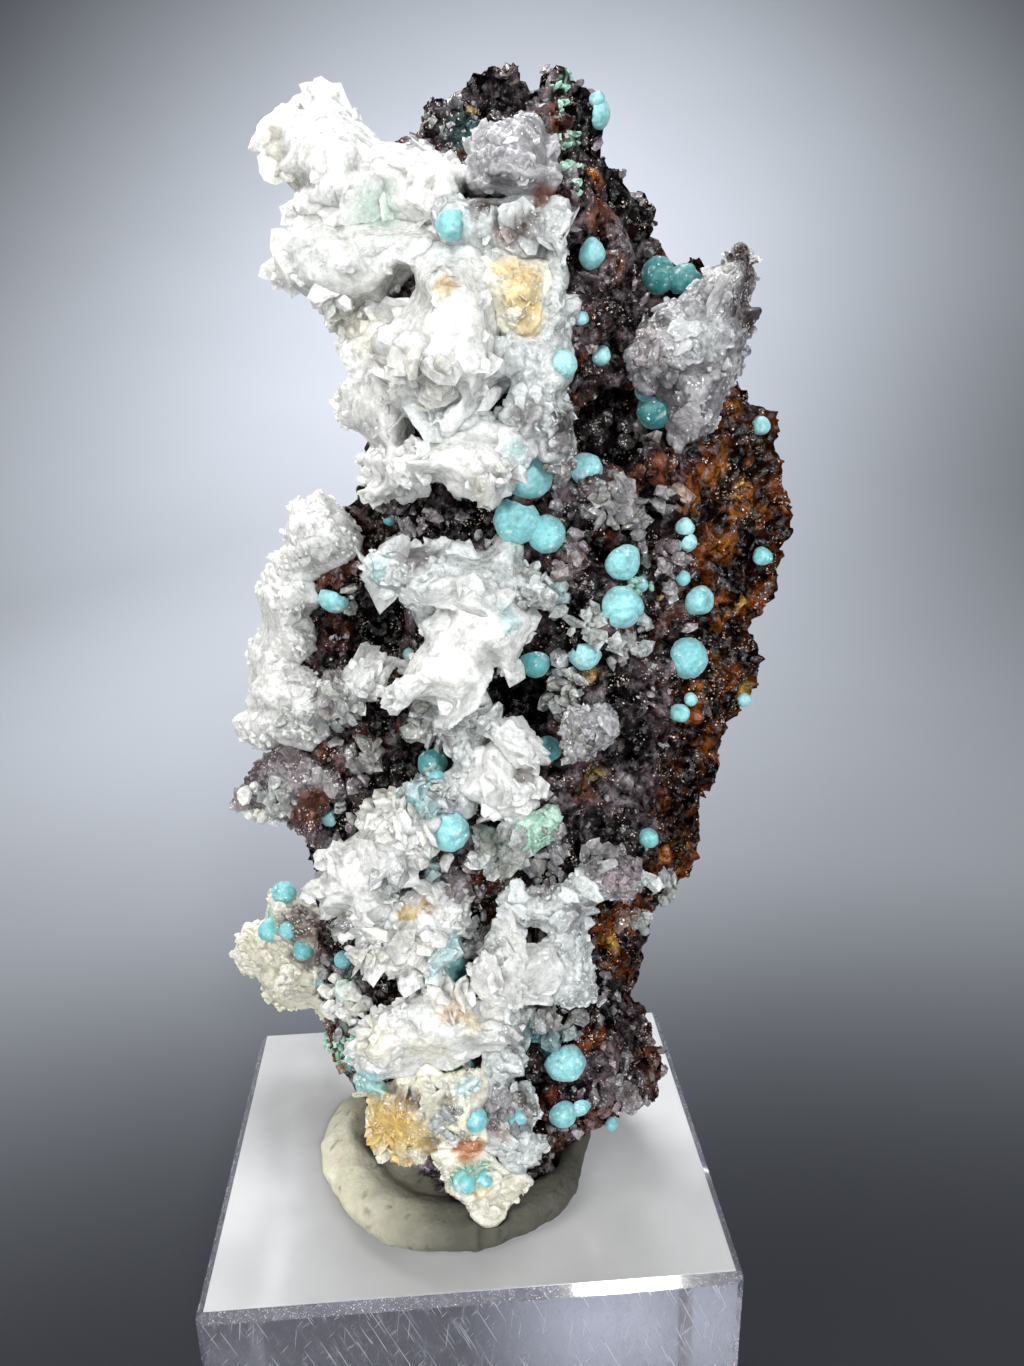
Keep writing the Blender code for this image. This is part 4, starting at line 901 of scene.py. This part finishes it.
CLUSTER_COVER = 0.06
CLUSTER_LEAN = 0.8
CRYSTAL_CORNERS = 8
MINT_COVER = 0.14
MINT_LENGTH = 0.4


def seen_places(spots, chance):
    """Return random places that show in spots of u, v, radius and count, and which way is out there."""
    rows = []
    for u, v, radius, count in spots:
        for _ in range(count):
            turn, reach = chance.uniform(0, 2 * math.pi), radius * math.sqrt(chance.random())
            place, normal, _ = seen_place(u + reach * math.cos(turn), v + reach * math.sin(turn))
            rows.append((*place, *normal))
    rows = np.array(rows)
    return rows[:, :3], rows[:, 3:]


def loose_crystals(places, out, length, tint, chance):
    """Return a thick ragged crystal at each place that isn't near a ball."""
    open_ones = distances(places, ball_tree, 1.5) > 0.45
    places, out, length, tint = places[open_ones], out[open_ones], length[open_ones], tint[open_ones]
    count = len(places)
    long = length * chance.uniform(0.5, 1.5, count)
    sizes = np.stack((long * 0.8, long * chance.uniform(0.3, 0.75, count), long), axis=1)
    axes = units(out + chance.normal(size=(count, 3)) * CLUSTER_LEAN)
    places = places + out * (0.2 * long)[:, None]
    shape = ragged(count, CRYSTAL_CORNERS, chance)
    points, faces = grown(shape, places, axes, chance.normal(size=(count, 3)), sizes)
    # Painted highlight on each crystal's rim and painted shade towards its middle.
    painted_rim_light_and_shade = np.concatenate((np.full(CRYSTAL_CORNERS, 1.15), np.full(CRYSTAL_CORNERS, 0.9), np.full(2, 0.8)))
    shade = (chance.uniform(0.75, 1.15, (count, 1)) * painted_rim_light_and_shade).reshape(-1, 1)
    return Part(points, faces, np.repeat(tint, len(painted_rim_light_and_shade), axis=0) * shade, False)


def small_crystals(clear, white, coloured, scattered):
    """Grow clear and white crystals in clusters and on the rock, and tiny ones on the patches of mint."""
    chance = np.random.default_rng(91)
    spots = [(u, v, radius, int(CLUSTER_COVER * radius ** 2)) for u, v, radius, _, _ in CLUSTERS]
    places, out = seen_places(spots, chance)
    count = [spot[3] for spot in spots]
    tint = np.repeat([PALETTE[cluster[3]] for cluster in CLUSTERS], count, axis=0)
    tint = patched(mixed(tint, PALETTE["putty"], 0.5 * chance.random(len(tint)) ** 2), places)
    length = np.repeat([cluster[4] for cluster in CLUSTERS], count)
    more = len(scattered[0])
    pale = chance.random(more) * blend(-0.4, 0.6, layered(scattered[0], 3.0, 720))
    places = np.concatenate((places, scattered[0]))
    out = np.concatenate((out, scattered[1]))
    scattered_tint = mixed(np.tile(PALETTE["lilac"], (more, 1)), PALETTE["ice"], pale)
    tint = np.concatenate((tint, patched(scattered_tint, scattered[0])))
    length = np.concatenate((length, np.full(more, SCATTER_LENGTH)))
    whitish = np.repeat([cluster[3] in ("white", "cream") for cluster in CLUSTERS], count)
    whitish = np.concatenate((whitish, np.zeros(more, dtype=bool)))
    for name, slot, material, chosen in (("clear_crystals", "calcite_grey", clear, ~whitish),
                                         ("white_crystals", "calcite_white", white, whitish)):
        part = loose_crystals(places[chosen], out[chosen], length[chosen], tint[chosen], chance)
        place_piece(written(name, part), [], material)
    spots = [(patch.u, patch.v, patch.radius, int(MINT_COVER * patch.radius ** 2))
             for patch in PATCHES if patch.colour == "mint" and patch.strength > 0.6]
    places, out = seen_places(spots, chance)
    tint = np.tile(PALETTE["mint"], (len(places), 1))
    length = np.full(len(places), MINT_LENGTH)
    piece = written("mint_crusts", loose_crystals(places, out, length, tint, chance))
    place_piece(piece, [], coloured)


# Balls: how pale each node's aurichalcite is, from 0, deep, to 1, pale.
# The deep values of the pairs in the hollow and in the cave are partly their darker colour and partly painted shade
# from the hollows they sit in.
PALE_BALLS = {
    "aurichalcite_ball_top": 0.7, "aurichalcite_ball_ridge": 0.6, "aurichalcite_pair_hollow": -0.2,
    "aurichalcite_ball_boss": 0.35, "aurichalcite_ball_pale": 0.95, "aurichalcite_pair_cave": -0.15,
    "aurichalcite_ball_shelf": 0.6, "aurichalcite_ball_shelf_right": 0.65, "aurichalcite_pair_middle": 0.45,
    "aurichalcite_ball_upper_right": 0.6, "aurichalcite_pair_right": 0.6, "aurichalcite_ball_far_right": 0.55,
    "aurichalcite_ball_bright": 0.4, "aurichalcite_pair_white": 1.0, "aurichalcite_ball_crusted": 0.7,
    "aurichalcite_ball_flower": 0.15, "aurichalcite_ball_left": 0.6, "aurichalcite_ball_blade": 0.25,
    "aurichalcite_ball_dark": 0.0, "aurichalcite_pair_fan": 0.6, "aurichalcite_ball_lower": 0.6,
    "aurichalcite_pair_foot": 0.6, "aurichalcite_ball_foot_left": 0.5, "aurichalcite_ball_foot": 0.3,
    "aurichalcite_pair_foot_right": 0.5, "aurichalcite_ball_collar": 0.6,
}

# Smaller balls, past the limit of solids: a place in the view, a radius there and how pale they are.
SMALL_BALLS = (
    (602, 355, 9, 0.9), (640, 585, 8, 0.6), (682, 578, 7, 0.5), (762, 556, 9, 0.3), (760, 426, 8, 0.9),
    (580, 318, 7, 0.9), (648, 838, 10, 0.4), (330, 817, 10, 0.8), (481, 830, 9, 0.8), (657, 884, 6, 0.7),
    (464, 1180, 12, 0.3), (485, 1178, 8, 0.4), (517, 1118, 9, 0.4), (370, 1080, 14, 0.8), (284, 893, 11, 0.3),
    (270, 930, 11, 0.3), (289, 930, 8, 0.3), (303, 950, 10, 0.2), (680, 713, 9, 0.6), (745, 700, 7, 0.8),
    (390, 520, 7, 0.2), (596, 100, 6, 0.8), (436, 778, 9, 0.3), (678, 546, 6, 0.9), (410, 655, 7, 0.9),
    (344, 960, 9, 0.3), (320, 980, 8, 0.4), (600, 640, 8, 0.8), (690, 700, 6, 0.7), (612, 1128, 6, 0.4),
)

BALL_VOXEL = 0.095
BALL_ROUNDS = 3
ROUNDED = 0.3


def ball_colours(points, pale):
    """Return mottled aurichalcite colours."""
    rows = mixed(np.tile(PALETTE["turquoise"], (len(points), 1)), PALETTE["sky"],
                 np.full(len(points), max(0.0, pale)))
    rows = mixed(rows, PALETTE["teal"], np.full(len(points), max(0.0, min(1.0, 0.6 - 2 * pale))))
    rows = mixed(rows, PALETTE["sky"], 0.5 * blend(0.1, 0.8, layered(points, 0.55, 500)))
    rows = mixed(rows, PALETTE["teal"], 0.6 * blend(0.1, 0.8, layered(points, 0.8, 510)))
    return mixed(rows, PALETTE["white"], 0.5 * blend(0.3, 0.7, layered(points, 0.35, 515)))


def ball_relief(points, normals):
    """Return a ball's surface with its fine velvet of crystal tips."""
    height = 0.13 * layered(points, 1.1, 520) + 0.035 * lumps(points, 0.3, 530)
    return points + normals * height[:, None]


def fitted_sphere(points):
    """Return the centre and radius of the sphere that fits points best."""
    rows = np.concatenate((2 * points, np.ones((len(points), 1))), axis=1)
    answer = np.linalg.lstsq(rows, np.sum(points * points, axis=1), rcond=None)[0]
    return answer[:3], math.sqrt(answer[3] + answer[:3] @ answer[:3])


def sphere_gaps(points, spheres):
    """Return how far points are outside of each sphere."""
    return np.stack([np.linalg.norm(points - centre, axis=1) - radius for centre, radius in spheres])


def ball_spheres(node):
    """Return the one or two spheres that a ball node is made of."""
    points = np.array([vertex.co for vertex in frame["nodes"][node].data.vertices]) / MM
    if "pair" not in node:
        return [fitted_sphere(points)]
    offsets = points - points.mean(axis=0)
    side = offsets @ np.linalg.svd(offsets, full_matrices=False)[2][0] > 0
    for _ in range(4):
        spheres = [fitted_sphere(points[side]), fitted_sphere(points[~side])]
        first, second = np.abs(sphere_gaps(points, spheres))
        side = first < second
    return spheres


def rounded(points, spheres):
    """Move points that lie near a sphere onto it."""
    gaps = sphere_gaps(points, spheres)
    closest = np.abs(gaps).argmin(axis=0)
    centres = np.array([centre for centre, _ in spheres])[closest]
    gap = gaps[closest, np.arange(len(points))]
    share = 1 - blend(0.6 * ROUNDED, ROUNDED, np.abs(gap))
    return points - units(points - centres) * (gap * share)[:, None]


def dress_ball(node, material):
    """Give a ball node its velvety surface."""
    points, normals, faces = remeshed(node, BALL_VOXEL, BALL_ROUNDS)
    points = rounded(points, ball_spheres(node))
    points = ball_relief(points, normals)
    piece = written(node + "_velvet", Part(points, faces, ball_colours(points, PALE_BALLS[node]), True))
    place_piece(piece, [node], material)


def small_balls(material):
    """Model the small balls as one joined mesh, each seated in what shows behind it."""
    parts = []
    for u, v, radius, pale in SMALL_BALLS:
        place, _, unit = seen_place(u, v)
        size = radius * unit
        bpy.ops.mesh.primitive_cube_add(size=2 * size * MM / math.sqrt(3), location=place * MM)
        ball = bpy.context.active_object
        bpy.ops.object.transform_apply(location=True, rotation=True, scale=True)
        apply_modifier(ball, "SUBSURF", levels=3, render_levels=3)
        points, normals, faces = body_arrays(ball)
        centre = points.mean(axis=0)
        points = centre + units(points - centre) * size
        points = points + normals * (0.12 * size * layered(points, size, 550))[:, None]
        points = ball_relief(points, normals)
        parts.append(Part(points, faces, ball_colours(points, pale), True))
    piece = written("small_aurichalcite_balls", joined(parts))
    place_piece(piece, [], material)


# Putty.

PUTTY_VOXEL = 0.3
BLOCK_TOP = 31.75


def dress_putty(material):
    """Press thumb dents and fine lumps into a copy of the putty ring, with painted light on its left and the
    specimen's painted shadow on its right.
    """
    points, normals, faces = remeshed("putty_ring", PUTTY_VOXEL)
    height = 0.05 + 0.22 * layered(points, 3.2, 600) + 0.10 * lumps(points, 1.0, 610)
    height += 0.045 * lumps(points, 0.45, 620)
    off_block = blend(BLOCK_TOP + 0.45, BLOCK_TOP + 0.95, points[:, 2])
    points = points + normals * (height * off_block)[:, None]
    shade = 1 + 0.12 * layered(points, 1.4, 630) - 0.55 * blend(0.3, 0.6, layered(points, 0.5, 640))
    # Painted light on the left of the ring and the specimen's painted shadow on its right.
    shade *= 1.4 - 1.27 * blend(-11.0, 0.0, points[:, 0] + 0.8 * layered(points, 3.0, 650))
    tint = np.tile(PALETTE["putty"], (len(points), 1)) * shade[:, None]
    piece = written("putty_pressed", Part(points, faces, tint, True))
    place_piece(piece, ["putty_ring"], material)


# Materials.

class Finish:
    """A material under construction: its nodes, its links and its shader."""

    def __init__(self, name, **values):
        self.material = bpy.data.materials.new(name)
        self.material.use_nodes = True
        self.tree = self.material.node_tree
        self.shader = self.tree.nodes["Principled BSDF"]
        for socket, value in values.items():
            self.shader.inputs[socket.replace("_", " ")].default_value = value

    def node(self, kind, inputs=None, **settings):
        """Add a node, set it, and link or set its inputs."""
        made = self.tree.nodes.new("ShaderNode" + kind)
        for name, value in settings.items():
            setattr(made, name, value)
        for key, value in (inputs or {}).items():
            self.feed(made.inputs[key], value)
        return made

    def feed(self, socket, value):
        """Link an output to a socket, or set the socket's value."""
        if isinstance(value, bpy.types.NodeSocket):
            self.tree.links.new(value, socket)
        else:
            socket.default_value = value

    def object_place(self):
        """Return the Object coordinates."""
        return self.node("TexCoord").outputs["Object"]

    def noise(self, size, detail=4.0, roughness=0.55):
        """Return noise with lumps of a size in mm."""
        made = self.node("TexNoise", {
            "Vector": self.object_place(), "Scale": 1 / (size * MM), "Detail": detail, "Roughness": roughness})
        return made.outputs["Fac"]

    def remap(self, value, low, high, new_low, new_high):
        """Return a value moved from one range into another."""
        made = self.node("MapRange", {
            "Value": value, "From Min": low, "From Max": high, "To Min": new_low, "To Max": new_high})
        return made.outputs["Result"]

    def tint(self):
        """Return the colours that the mesh holds."""
        return self.node("Attribute", attribute_name="tint").outputs["Color"]

    def scaled(self, colour, share):
        """Return a colour made lighter or darker by a value."""
        made = self.node("VectorMath", {0: colour}, operation="SCALE")
        self.feed(made.inputs["Scale"], share)
        return made.outputs["Vector"]

    def bump(self, height, distance, strength=1.0, normal=None):
        """Return a bumped normal, its distance in mm."""
        inputs = {"Height": height, "Distance": distance * MM, "Strength": strength}
        if normal is not None:
            inputs["Normal"] = normal
        return self.node("Bump", inputs).outputs["Normal"]

    def glitter(self, size, amount):
        """Return a normal that is tipped another way in each tiny cell, so that faces flash."""
        cell = self.node("TexVoronoi", {"Vector": self.object_place(), "Scale": 1 / (size * MM)})
        centred = self.node("VectorMath", {0: cell.outputs["Color"], 1: (0.5, 0.5, 0.5)}, operation="SUBTRACT")
        tipped = self.node("VectorMath", {0: centred.outputs["Vector"]}, operation="SCALE")
        tipped.inputs["Scale"].default_value = amount
        normal = self.node("NewGeometry").outputs["Normal"]
        added = self.node("VectorMath", {0: normal, 1: tipped.outputs["Vector"]}, operation="ADD")
        return self.node("VectorMath", {0: added.outputs["Vector"]}, operation="NORMALIZE").outputs["Vector"]

    def blended(self, share, first, second):
        """Return a mix of two colours."""
        made = self.node("Mix", {"Factor": share, 6: first, 7: second}, data_type="RGBA")
        return made.outputs[2]

    def painted_glints(self, size, share):
        """Return 1 on a share of tiny round cells, gathered in patches, and 0 elsewhere: the cells where glints are
        painted into a colour.
        """
        cell = self.node("TexVoronoi", {"Vector": self.object_place(), "Scale": 1 / (size * MM)})
        pick = self.node("SeparateColor", {"Color": cell.outputs["Color"]}).outputs["Red"]
        patch = self.remap(self.noise(1.3, 3.0), 0.5, 0.64, 0.0, share)
        chosen = self.node("Math", {0: pick, 1: patch}, operation="LESS_THAN").outputs["Value"]
        wide = self.node("SeparateColor", {"Color": cell.outputs["Color"]}).outputs["Green"]
        near = self.node("Math", {0: cell.outputs["Distance"], 1: wide}, operation="LESS_THAN").outputs["Value"]
        bright = self.node("SeparateColor", {"Color": cell.outputs["Color"]}).outputs["Blue"]
        shown = self.node("Math", {0: chosen, 1: near}, operation="MULTIPLY").outputs["Value"]
        return self.node("Math", {0: shown, 1: bright}, operation="MULTIPLY").outputs["Value"]

    def put(self, **links):
        """Link or set the shader's sockets, and return the material."""
        for socket, value in links.items():
            self.feed(self.shader.inputs[socket.replace("_", " ")], value)
        return self.material


def calcite_finish(name, roughness, cloud, scatter, clear, depth, tilt):
    """Return translucent calcite: depth is how far light spreads in it in mm, tilt how much it glitters."""
    finish = Finish(
        name, IOR=1.66, Subsurface_Weight=scatter, Subsurface_Scale=depth * MM,
        Subsurface_Radius=(1.0, 0.97, 0.92), Transmission_Weight=clear)
    shade = finish.remap(finish.noise(0.6), 0.3, 0.7, 1 - cloud, 1.0)
    grain = finish.remap(finish.noise(0.36, 5.0, 0.75), 0.36, 0.6, 0.8 - 0.7 * cloud, 1.02 + 0.4 * cloud)
    rough = finish.remap(finish.noise(0.35), 0.3, 0.7, roughness * 0.6, roughness * 1.3)
    tint = finish.scaled(finish.scaled(finish.tint(), shade), grain)
    return finish.put(
        # Painted glints: tiny white cells laid over the calcite's colour.
        Base_Color=finish.blended(finish.painted_glints(0.11, 0.25 + cloud), tint, (0.97, 0.97, 0.97, 1.0)),
        Roughness=rough,
        Normal=finish.bump(finish.noise(0.13), 0.05, 0.8, finish.glitter(0.2, tilt)))


def druse_finish():
    """Return sparkling grey druse, glassy over a dark ground."""
    finish = Finish("druse", IOR=1.7, Transmission_Weight=0.25)
    shade = finish.remap(finish.noise(0.35), 0.3, 0.7, 0.4, 1.4)
    # Painted glints: tiny pale cells laid over the druse's colour.
    tint = finish.blended(finish.painted_glints(0.10, 0.5), finish.scaled(finish.tint(), shade), (0.9, 0.9, 0.9, 1.0))
    return finish.put(
        Base_Color=tint,
        Roughness=finish.remap(finish.noise(0.3), 0.35, 0.65, 0.1, 0.35),
        Normal=finish.glitter(0.18, 0.8))


def limonite_finish():
    """Return limonite: dark, porous and glinting."""
    finish = Finish("limonite", IOR=1.8)
    shade = finish.remap(finish.noise(0.9, 6.0, 0.7), 0.42, 0.64, 0.05, 1.5)
    # Painted glints: tiny pale cells laid over the limonite's colour.
    tint = finish.blended(finish.painted_glints(0.09, 0.28), finish.scaled(finish.tint(), shade), (0.85, 0.70, 0.60, 1.0))
    return finish.put(
        Base_Color=tint,
        Specular_IOR_Level=finish.remap(finish.noise(0.5, 3.0), 0.48, 0.6, 0.0, 0.5),
        Roughness=finish.remap(finish.noise(0.3), 0.4, 0.62, 0.14, 0.5),
        Normal=finish.bump(finish.noise(0.2, 5.0), 0.14, 1.0, finish.glitter(0.24, 0.9)))


def aurichalcite_finish():
    """Return velvety aurichalcite."""
    finish = Finish(
        "aurichalcite", IOR=1.5, Subsurface_Weight=0.35, Subsurface_Scale=0.5 * MM,
        Subsurface_Radius=(0.5, 1.0, 1.0), Sheen_Weight=0.35, Sheen_Roughness=0.4,
        Sheen_Tint=(0.85, 1.0, 1.0, 1.0))
    shade = finish.remap(finish.noise(0.2, 3.0, 0.7), 0.35, 0.65, 0.8, 1.15)
    # Painted glints: tiny pale cells laid over the aurichalcite's colour.
    tint = finish.blended(finish.painted_glints(0.12, 0.18), finish.scaled(finish.tint(), shade), (0.8, 0.93, 0.93, 1.0))
    return finish.put(
        Base_Color=tint,
        Roughness=finish.remap(finish.noise(0.2), 0.3, 0.7, 0.25, 0.55),
        Normal=finish.bump(finish.noise(0.09), 0.02, 1.0, finish.glitter(0.13, 0.25)))


def putty_finish():
    """Return matt putty with a fine grain."""
    finish = Finish("putty", Roughness=0.75, IOR=1.45)
    shade = finish.remap(finish.noise(0.7), 0.3, 0.7, 0.88, 1.08)
    return finish.put(
        Base_Color=finish.scaled(finish.tint(), shade),
        Normal=finish.bump(finish.noise(0.3, 5.0), 0.12, 0.8))


SAW_EDGE = 0.02


def acrylic_finish():
    """Return clear acrylic with fine scratches and a hazy sawn top, its top painted darker on the left as painted
    shade.
    """
    finish = Finish("acrylic", IOR=1.49)
    place = finish.object_place()
    lines = []
    for turn, size, stretch in ((0.12, 0.05, (1, 1, 90)), (-0.4, 0.06, (1, 1, 50)), (0.7, 0.05, (1, 1, 24))):
        laid = finish.node(
            "Mapping", {"Vector": place, "Rotation": (0, turn, 0), "Scale": stretch}, vector_type="TEXTURE")
        made = finish.node("TexNoise", {"Vector": laid.outputs["Vector"], "Scale": 1 / (size * MM), "Detail": 0.0})
        lines.append(finish.remap(made.outputs["Fac"], 0.74, 0.79, 0.0, 1.0))
    both = lines[0]
    for line in lines[1:]:
        both = finish.node("Math", {0: both, 1: line}, operation="MAXIMUM").outputs["Value"]
    high = finish.node("SeparateXYZ", {0: place}).outputs["Z"]
    sawn = finish.remap(high, (BLOCK_TOP - SAW_EDGE) * MM, (BLOCK_TOP - SAW_EDGE / 2) * MM, 0.0, 1.0)
    haze = finish.remap(finish.noise(5.0), 0.3, 0.7, 0.42, 0.56)
    hazy = finish.node("Math", {0: sawn, 1: haze}, operation="MULTIPLY").outputs["Value"]
    rough = finish.node("Math", {0: both, 1: sawn}, operation="MAXIMUM").outputs["Value"]
    marks = finish.node("Math", {0: both, 1: 0.35}, operation="MULTIPLY").outputs["Value"]
    solid = finish.node("Math", {0: hazy, 1: marks}, operation="MAXIMUM").outputs["Value"]
    across = finish.node("SeparateXYZ", {0: place}).outputs["X"]
    # Painted shade: the sawn top goes from darker on the left to lighter on the right.
    top = finish.blended(
        finish.remap(across, -12 * MM, 8 * MM, 0.0, 1.0), (0.66, 0.66, 0.66, 1.0), (0.97, 0.97, 0.96, 1.0))
    top = finish.scaled(top, finish.remap(finish.noise(6.0, 3.0), 0.35, 0.65, 0.93, 1.03))
    return finish.put(
        Base_Color=finish.blended(sawn, (0.86, 0.86, 0.95, 1.0), top),
        Transmission_Weight=finish.remap(solid, 0.0, 1.0, 0.95, 0.0),
        Roughness=finish.remap(rough, 0.0, 1.0, 0.07, 0.30),
        Normal=finish.bump(both, 0.01, 0.4))


# The stage's colour is painted light and shade: a painted pool of light round a place behind the block, painted
# shade near the block and towards the right, and a painted spot of light just behind the block. Distances are in
# mm.
PAINTED_GLOW, PAINTED_GLOW_NEAR, PAINTED_GLOW_FAR = (103.0, 419.0, 22.0), 0.0, 550.0
PAINTED_SHADE, PAINTED_SHADE_NEAR, PAINTED_SHADE_FAR, PAINTED_SHADE_LEVEL = (22.0, -137.0, 0.0), 149.0, 240.0, 0.12
PAINTED_DIM, PAINTED_DIM_FAR = (361.0, 231.0, 51.0), 460.0
PAINTED_BLOCK_GLOW, PAINTED_BLOCK_GLOW_FAR, PAINTED_BLOCK_GLOW_LEVEL = (12.0, 25.0, 0.0), 16.0, 0.45
STAGE_LIGHT = (0.82, 0.86, 0.93, 1.0)
STAGE_DARK = (0.013, 0.014, 0.017, 1.0)


def stage_finish():
    """Return the floor and wall, with a painted pool of light behind and painted shade near the block."""
    finish = Finish("stage", Roughness=0.8, Specular_IOR_Level=0.0)

    def by_distance(place, near, far, low, high):
        """Return a value that goes smoothly from low to high with the distance from a place."""
        away = finish.node("VectorMath", {0: finish.object_place(), 1: Vector(place) * MM}, operation="DISTANCE")
        return finish.node("MapRange", {
            "Value": away.outputs["Value"], "From Min": near * MM, "From Max": far * MM,
            "To Min": low, "To Max": high}, interpolation_type="SMOOTHSTEP").outputs["Result"]

    # Painted light and shade: the pool of light, times the shade near the block and to the right, with the spot
    # behind the block.
    painted_glow = by_distance(PAINTED_GLOW, PAINTED_GLOW_NEAR, PAINTED_GLOW_FAR, 1.0, 0.0)
    near = by_distance(PAINTED_SHADE, PAINTED_SHADE_NEAR, PAINTED_SHADE_FAR, PAINTED_SHADE_LEVEL, 1.0)
    dim = by_distance(PAINTED_DIM, 0.0, PAINTED_DIM_FAR, 0.0, 1.0)
    light = finish.node("Math", {0: painted_glow, 1: near}, operation="MULTIPLY").outputs["Value"]
    light = finish.node("Math", {0: light, 1: dim}, operation="MULTIPLY").outputs["Value"]
    spot = by_distance(PAINTED_BLOCK_GLOW, 0.0, PAINTED_BLOCK_GLOW_FAR, PAINTED_BLOCK_GLOW_LEVEL, 0.0)
    light = finish.node("Math", {0: light, 1: spot}, operation="MAXIMUM").outputs["Value"]
    shade = finish.remap(finish.noise(60.0, 2.0), 0.3, 0.7, 0.97, 1.0)
    return finish.put(Base_Color=finish.scaled(finish.blended(light, STAGE_DARK, STAGE_LIGHT), shade))


# Stage, light and camera.

FLOOR_TOP = -0.05
FLOOR_SIDE = 2400.0
FLOOR_FRONT = -1500.0
FLOOR_BACK = 150.0
SWEEP = 500.0
WALL = 1500.0
SWEEP_STEPS = 24


def stage():
    """Lay a floor that sweeps up into a wall behind, with painted light and shade in its material."""
    profile = [(FLOOR_FRONT, FLOOR_TOP), (FLOOR_BACK, FLOOR_TOP)]
    for step in range(1, SWEEP_STEPS + 1):
        angle = math.radians(90 * step / SWEEP_STEPS)
        profile.append((FLOOR_BACK + SWEEP * math.sin(angle), FLOOR_TOP + SWEEP * (1 - math.cos(angle))))
    profile.append((FLOOR_BACK + SWEEP, WALL))
    points = np.array([(x, y, z) for y, z in profile for x in (-FLOOR_SIDE, FLOOR_SIDE)])
    rows = np.arange(len(profile) - 1) * 2
    faces = np.stack((rows, rows + 1, rows + 3, rows + 2), axis=1)
    floor = written("floor", Part(points, faces, np.ones((len(points), 3)), True))
    floor.data.materials.append(stage_finish())


def area_light(name, place, target, size, power, colour):
    """Add a soft square light, its places and size in millimetres."""
    data = bpy.data.lights.new(name, "AREA")
    data.shape = "SQUARE"
    data.size = size * MM
    data.energy = power
    data.color = colour
    lamp = bpy.data.objects.new(name, data)
    bpy.context.scene.collection.objects.link(lamp)
    place, target = Vector(place), Vector(target)
    lamp.location = place * MM
    lamp.rotation_euler = (target - place).to_track_quat("-Z", "Y").to_euler()


def lighting():
    """Set the studio lights and the dim surroundings."""
    middle = (0, 0, 62)
    area_light("key", (-155, -160, 200), middle, 150, 0.42, (1.0, 0.985, 0.95))
    area_light("spark", (40, -190, 190), middle, 22, 0.28, (1.0, 1.0, 1.0))
    area_light("fill", (190, -150, 120), middle, 160, 0.25, (0.95, 0.98, 1.0))
    area_light("low", (-60, -230, 40), middle, 160, 0.44, (0.98, 0.99, 1.0))
    area_light("rim", (-110, 150, 170), middle, 100, 0.35, (0.97, 0.98, 1.0))
    area_light("backdrop", (20, 260, 560), (0, 350, 60), 260, 3.0, (0.95, 0.97, 1.0))
    world = bpy.data.worlds.new("surroundings")
    world.use_nodes = True
    background = world.node_tree.nodes["Background"]
    background.inputs["Color"].default_value = (0.62, 0.66, 0.74, 1.0)
    background.inputs["Strength"].default_value = 0.09
    bpy.context.scene.world = world
    bpy.context.scene.view_settings.view_transform = "Standard"


def camera():
    """Set the camera at the front view."""
    data = bpy.data.cameras.new("camera")
    data.sensor_fit = "AUTO"
    data.sensor_width = SENSOR
    data.lens = SENSOR * FOCAL / VIEW_HEIGHT
    data.clip_start = 0.001
    data.clip_end = 20.0
    eye = bpy.data.objects.new("camera", data)
    bpy.context.scene.collection.objects.link(eye)
    rows = np.stack((RIGHT, -DOWN, -FORWARD, EYE * MM), axis=1)
    eye.matrix_world = Matrix([*rows.tolist(), (0, 0, 0, 1)])
    bpy.context.scene.camera = eye


def main():
    """Dress every node, then set the stage, the lights and the camera."""
    white = calcite_finish("calcite_white", 0.22, 0.1, 1.0, 0.0, 1.5, 0.45)
    grey = calcite_finish("calcite_grey", 0.2, 0.25, 0.6, 0.2, 0.8, 0.5)
    stained = calcite_finish("calcite_stained", 0.35, 0.2, 0.5, 0.0, 0.4, 0.35)
    clear = calcite_finish("clear_crystals", 0.12, 0.4, 0.0, 0.25, 0.5, 0.5)
    leafy = calcite_finish("calcite_leaves", 0.2, 0.1, 0.5, 0.0, 0.45, 0.45)
    druse = druse_finish()
    finishes = {
        "calcite_white": white, "calcite_grey": grey, "calcite_stained": stained,
        "druse": calcite_finish("druse_body", 0.16, 0.4, 0.35, 0.25, 0.6, 0.55), "rosasite": stained}
    loose = {}
    for number, (node, growth) in enumerate(GROWTHS.items()):
        more = dress_crystal(node, growth, finishes[slot_of(node)], 1000 + 40 * number)
        loose.setdefault(slot_of(node), []).extend(more)
    for slot, parts in loose.items():
        place_piece(written(slot + "_leaves", joined(parts)), [], leafy)
    scattered = dress_rock(limonite_finish(), druse)
    small_crystals(clear, leafy, stained, scattered)
    velvet = aurichalcite_finish()
    for node in PALE_BALLS:
        dress_ball(node, velvet)
    small_balls(velvet)
    dress_putty(putty_finish())
    block = frame["nodes"]["acrylic_block"]
    block.data.materials.clear()
    block.data.materials.append(acrylic_finish())
    stage()
    lighting()
    camera()


main()
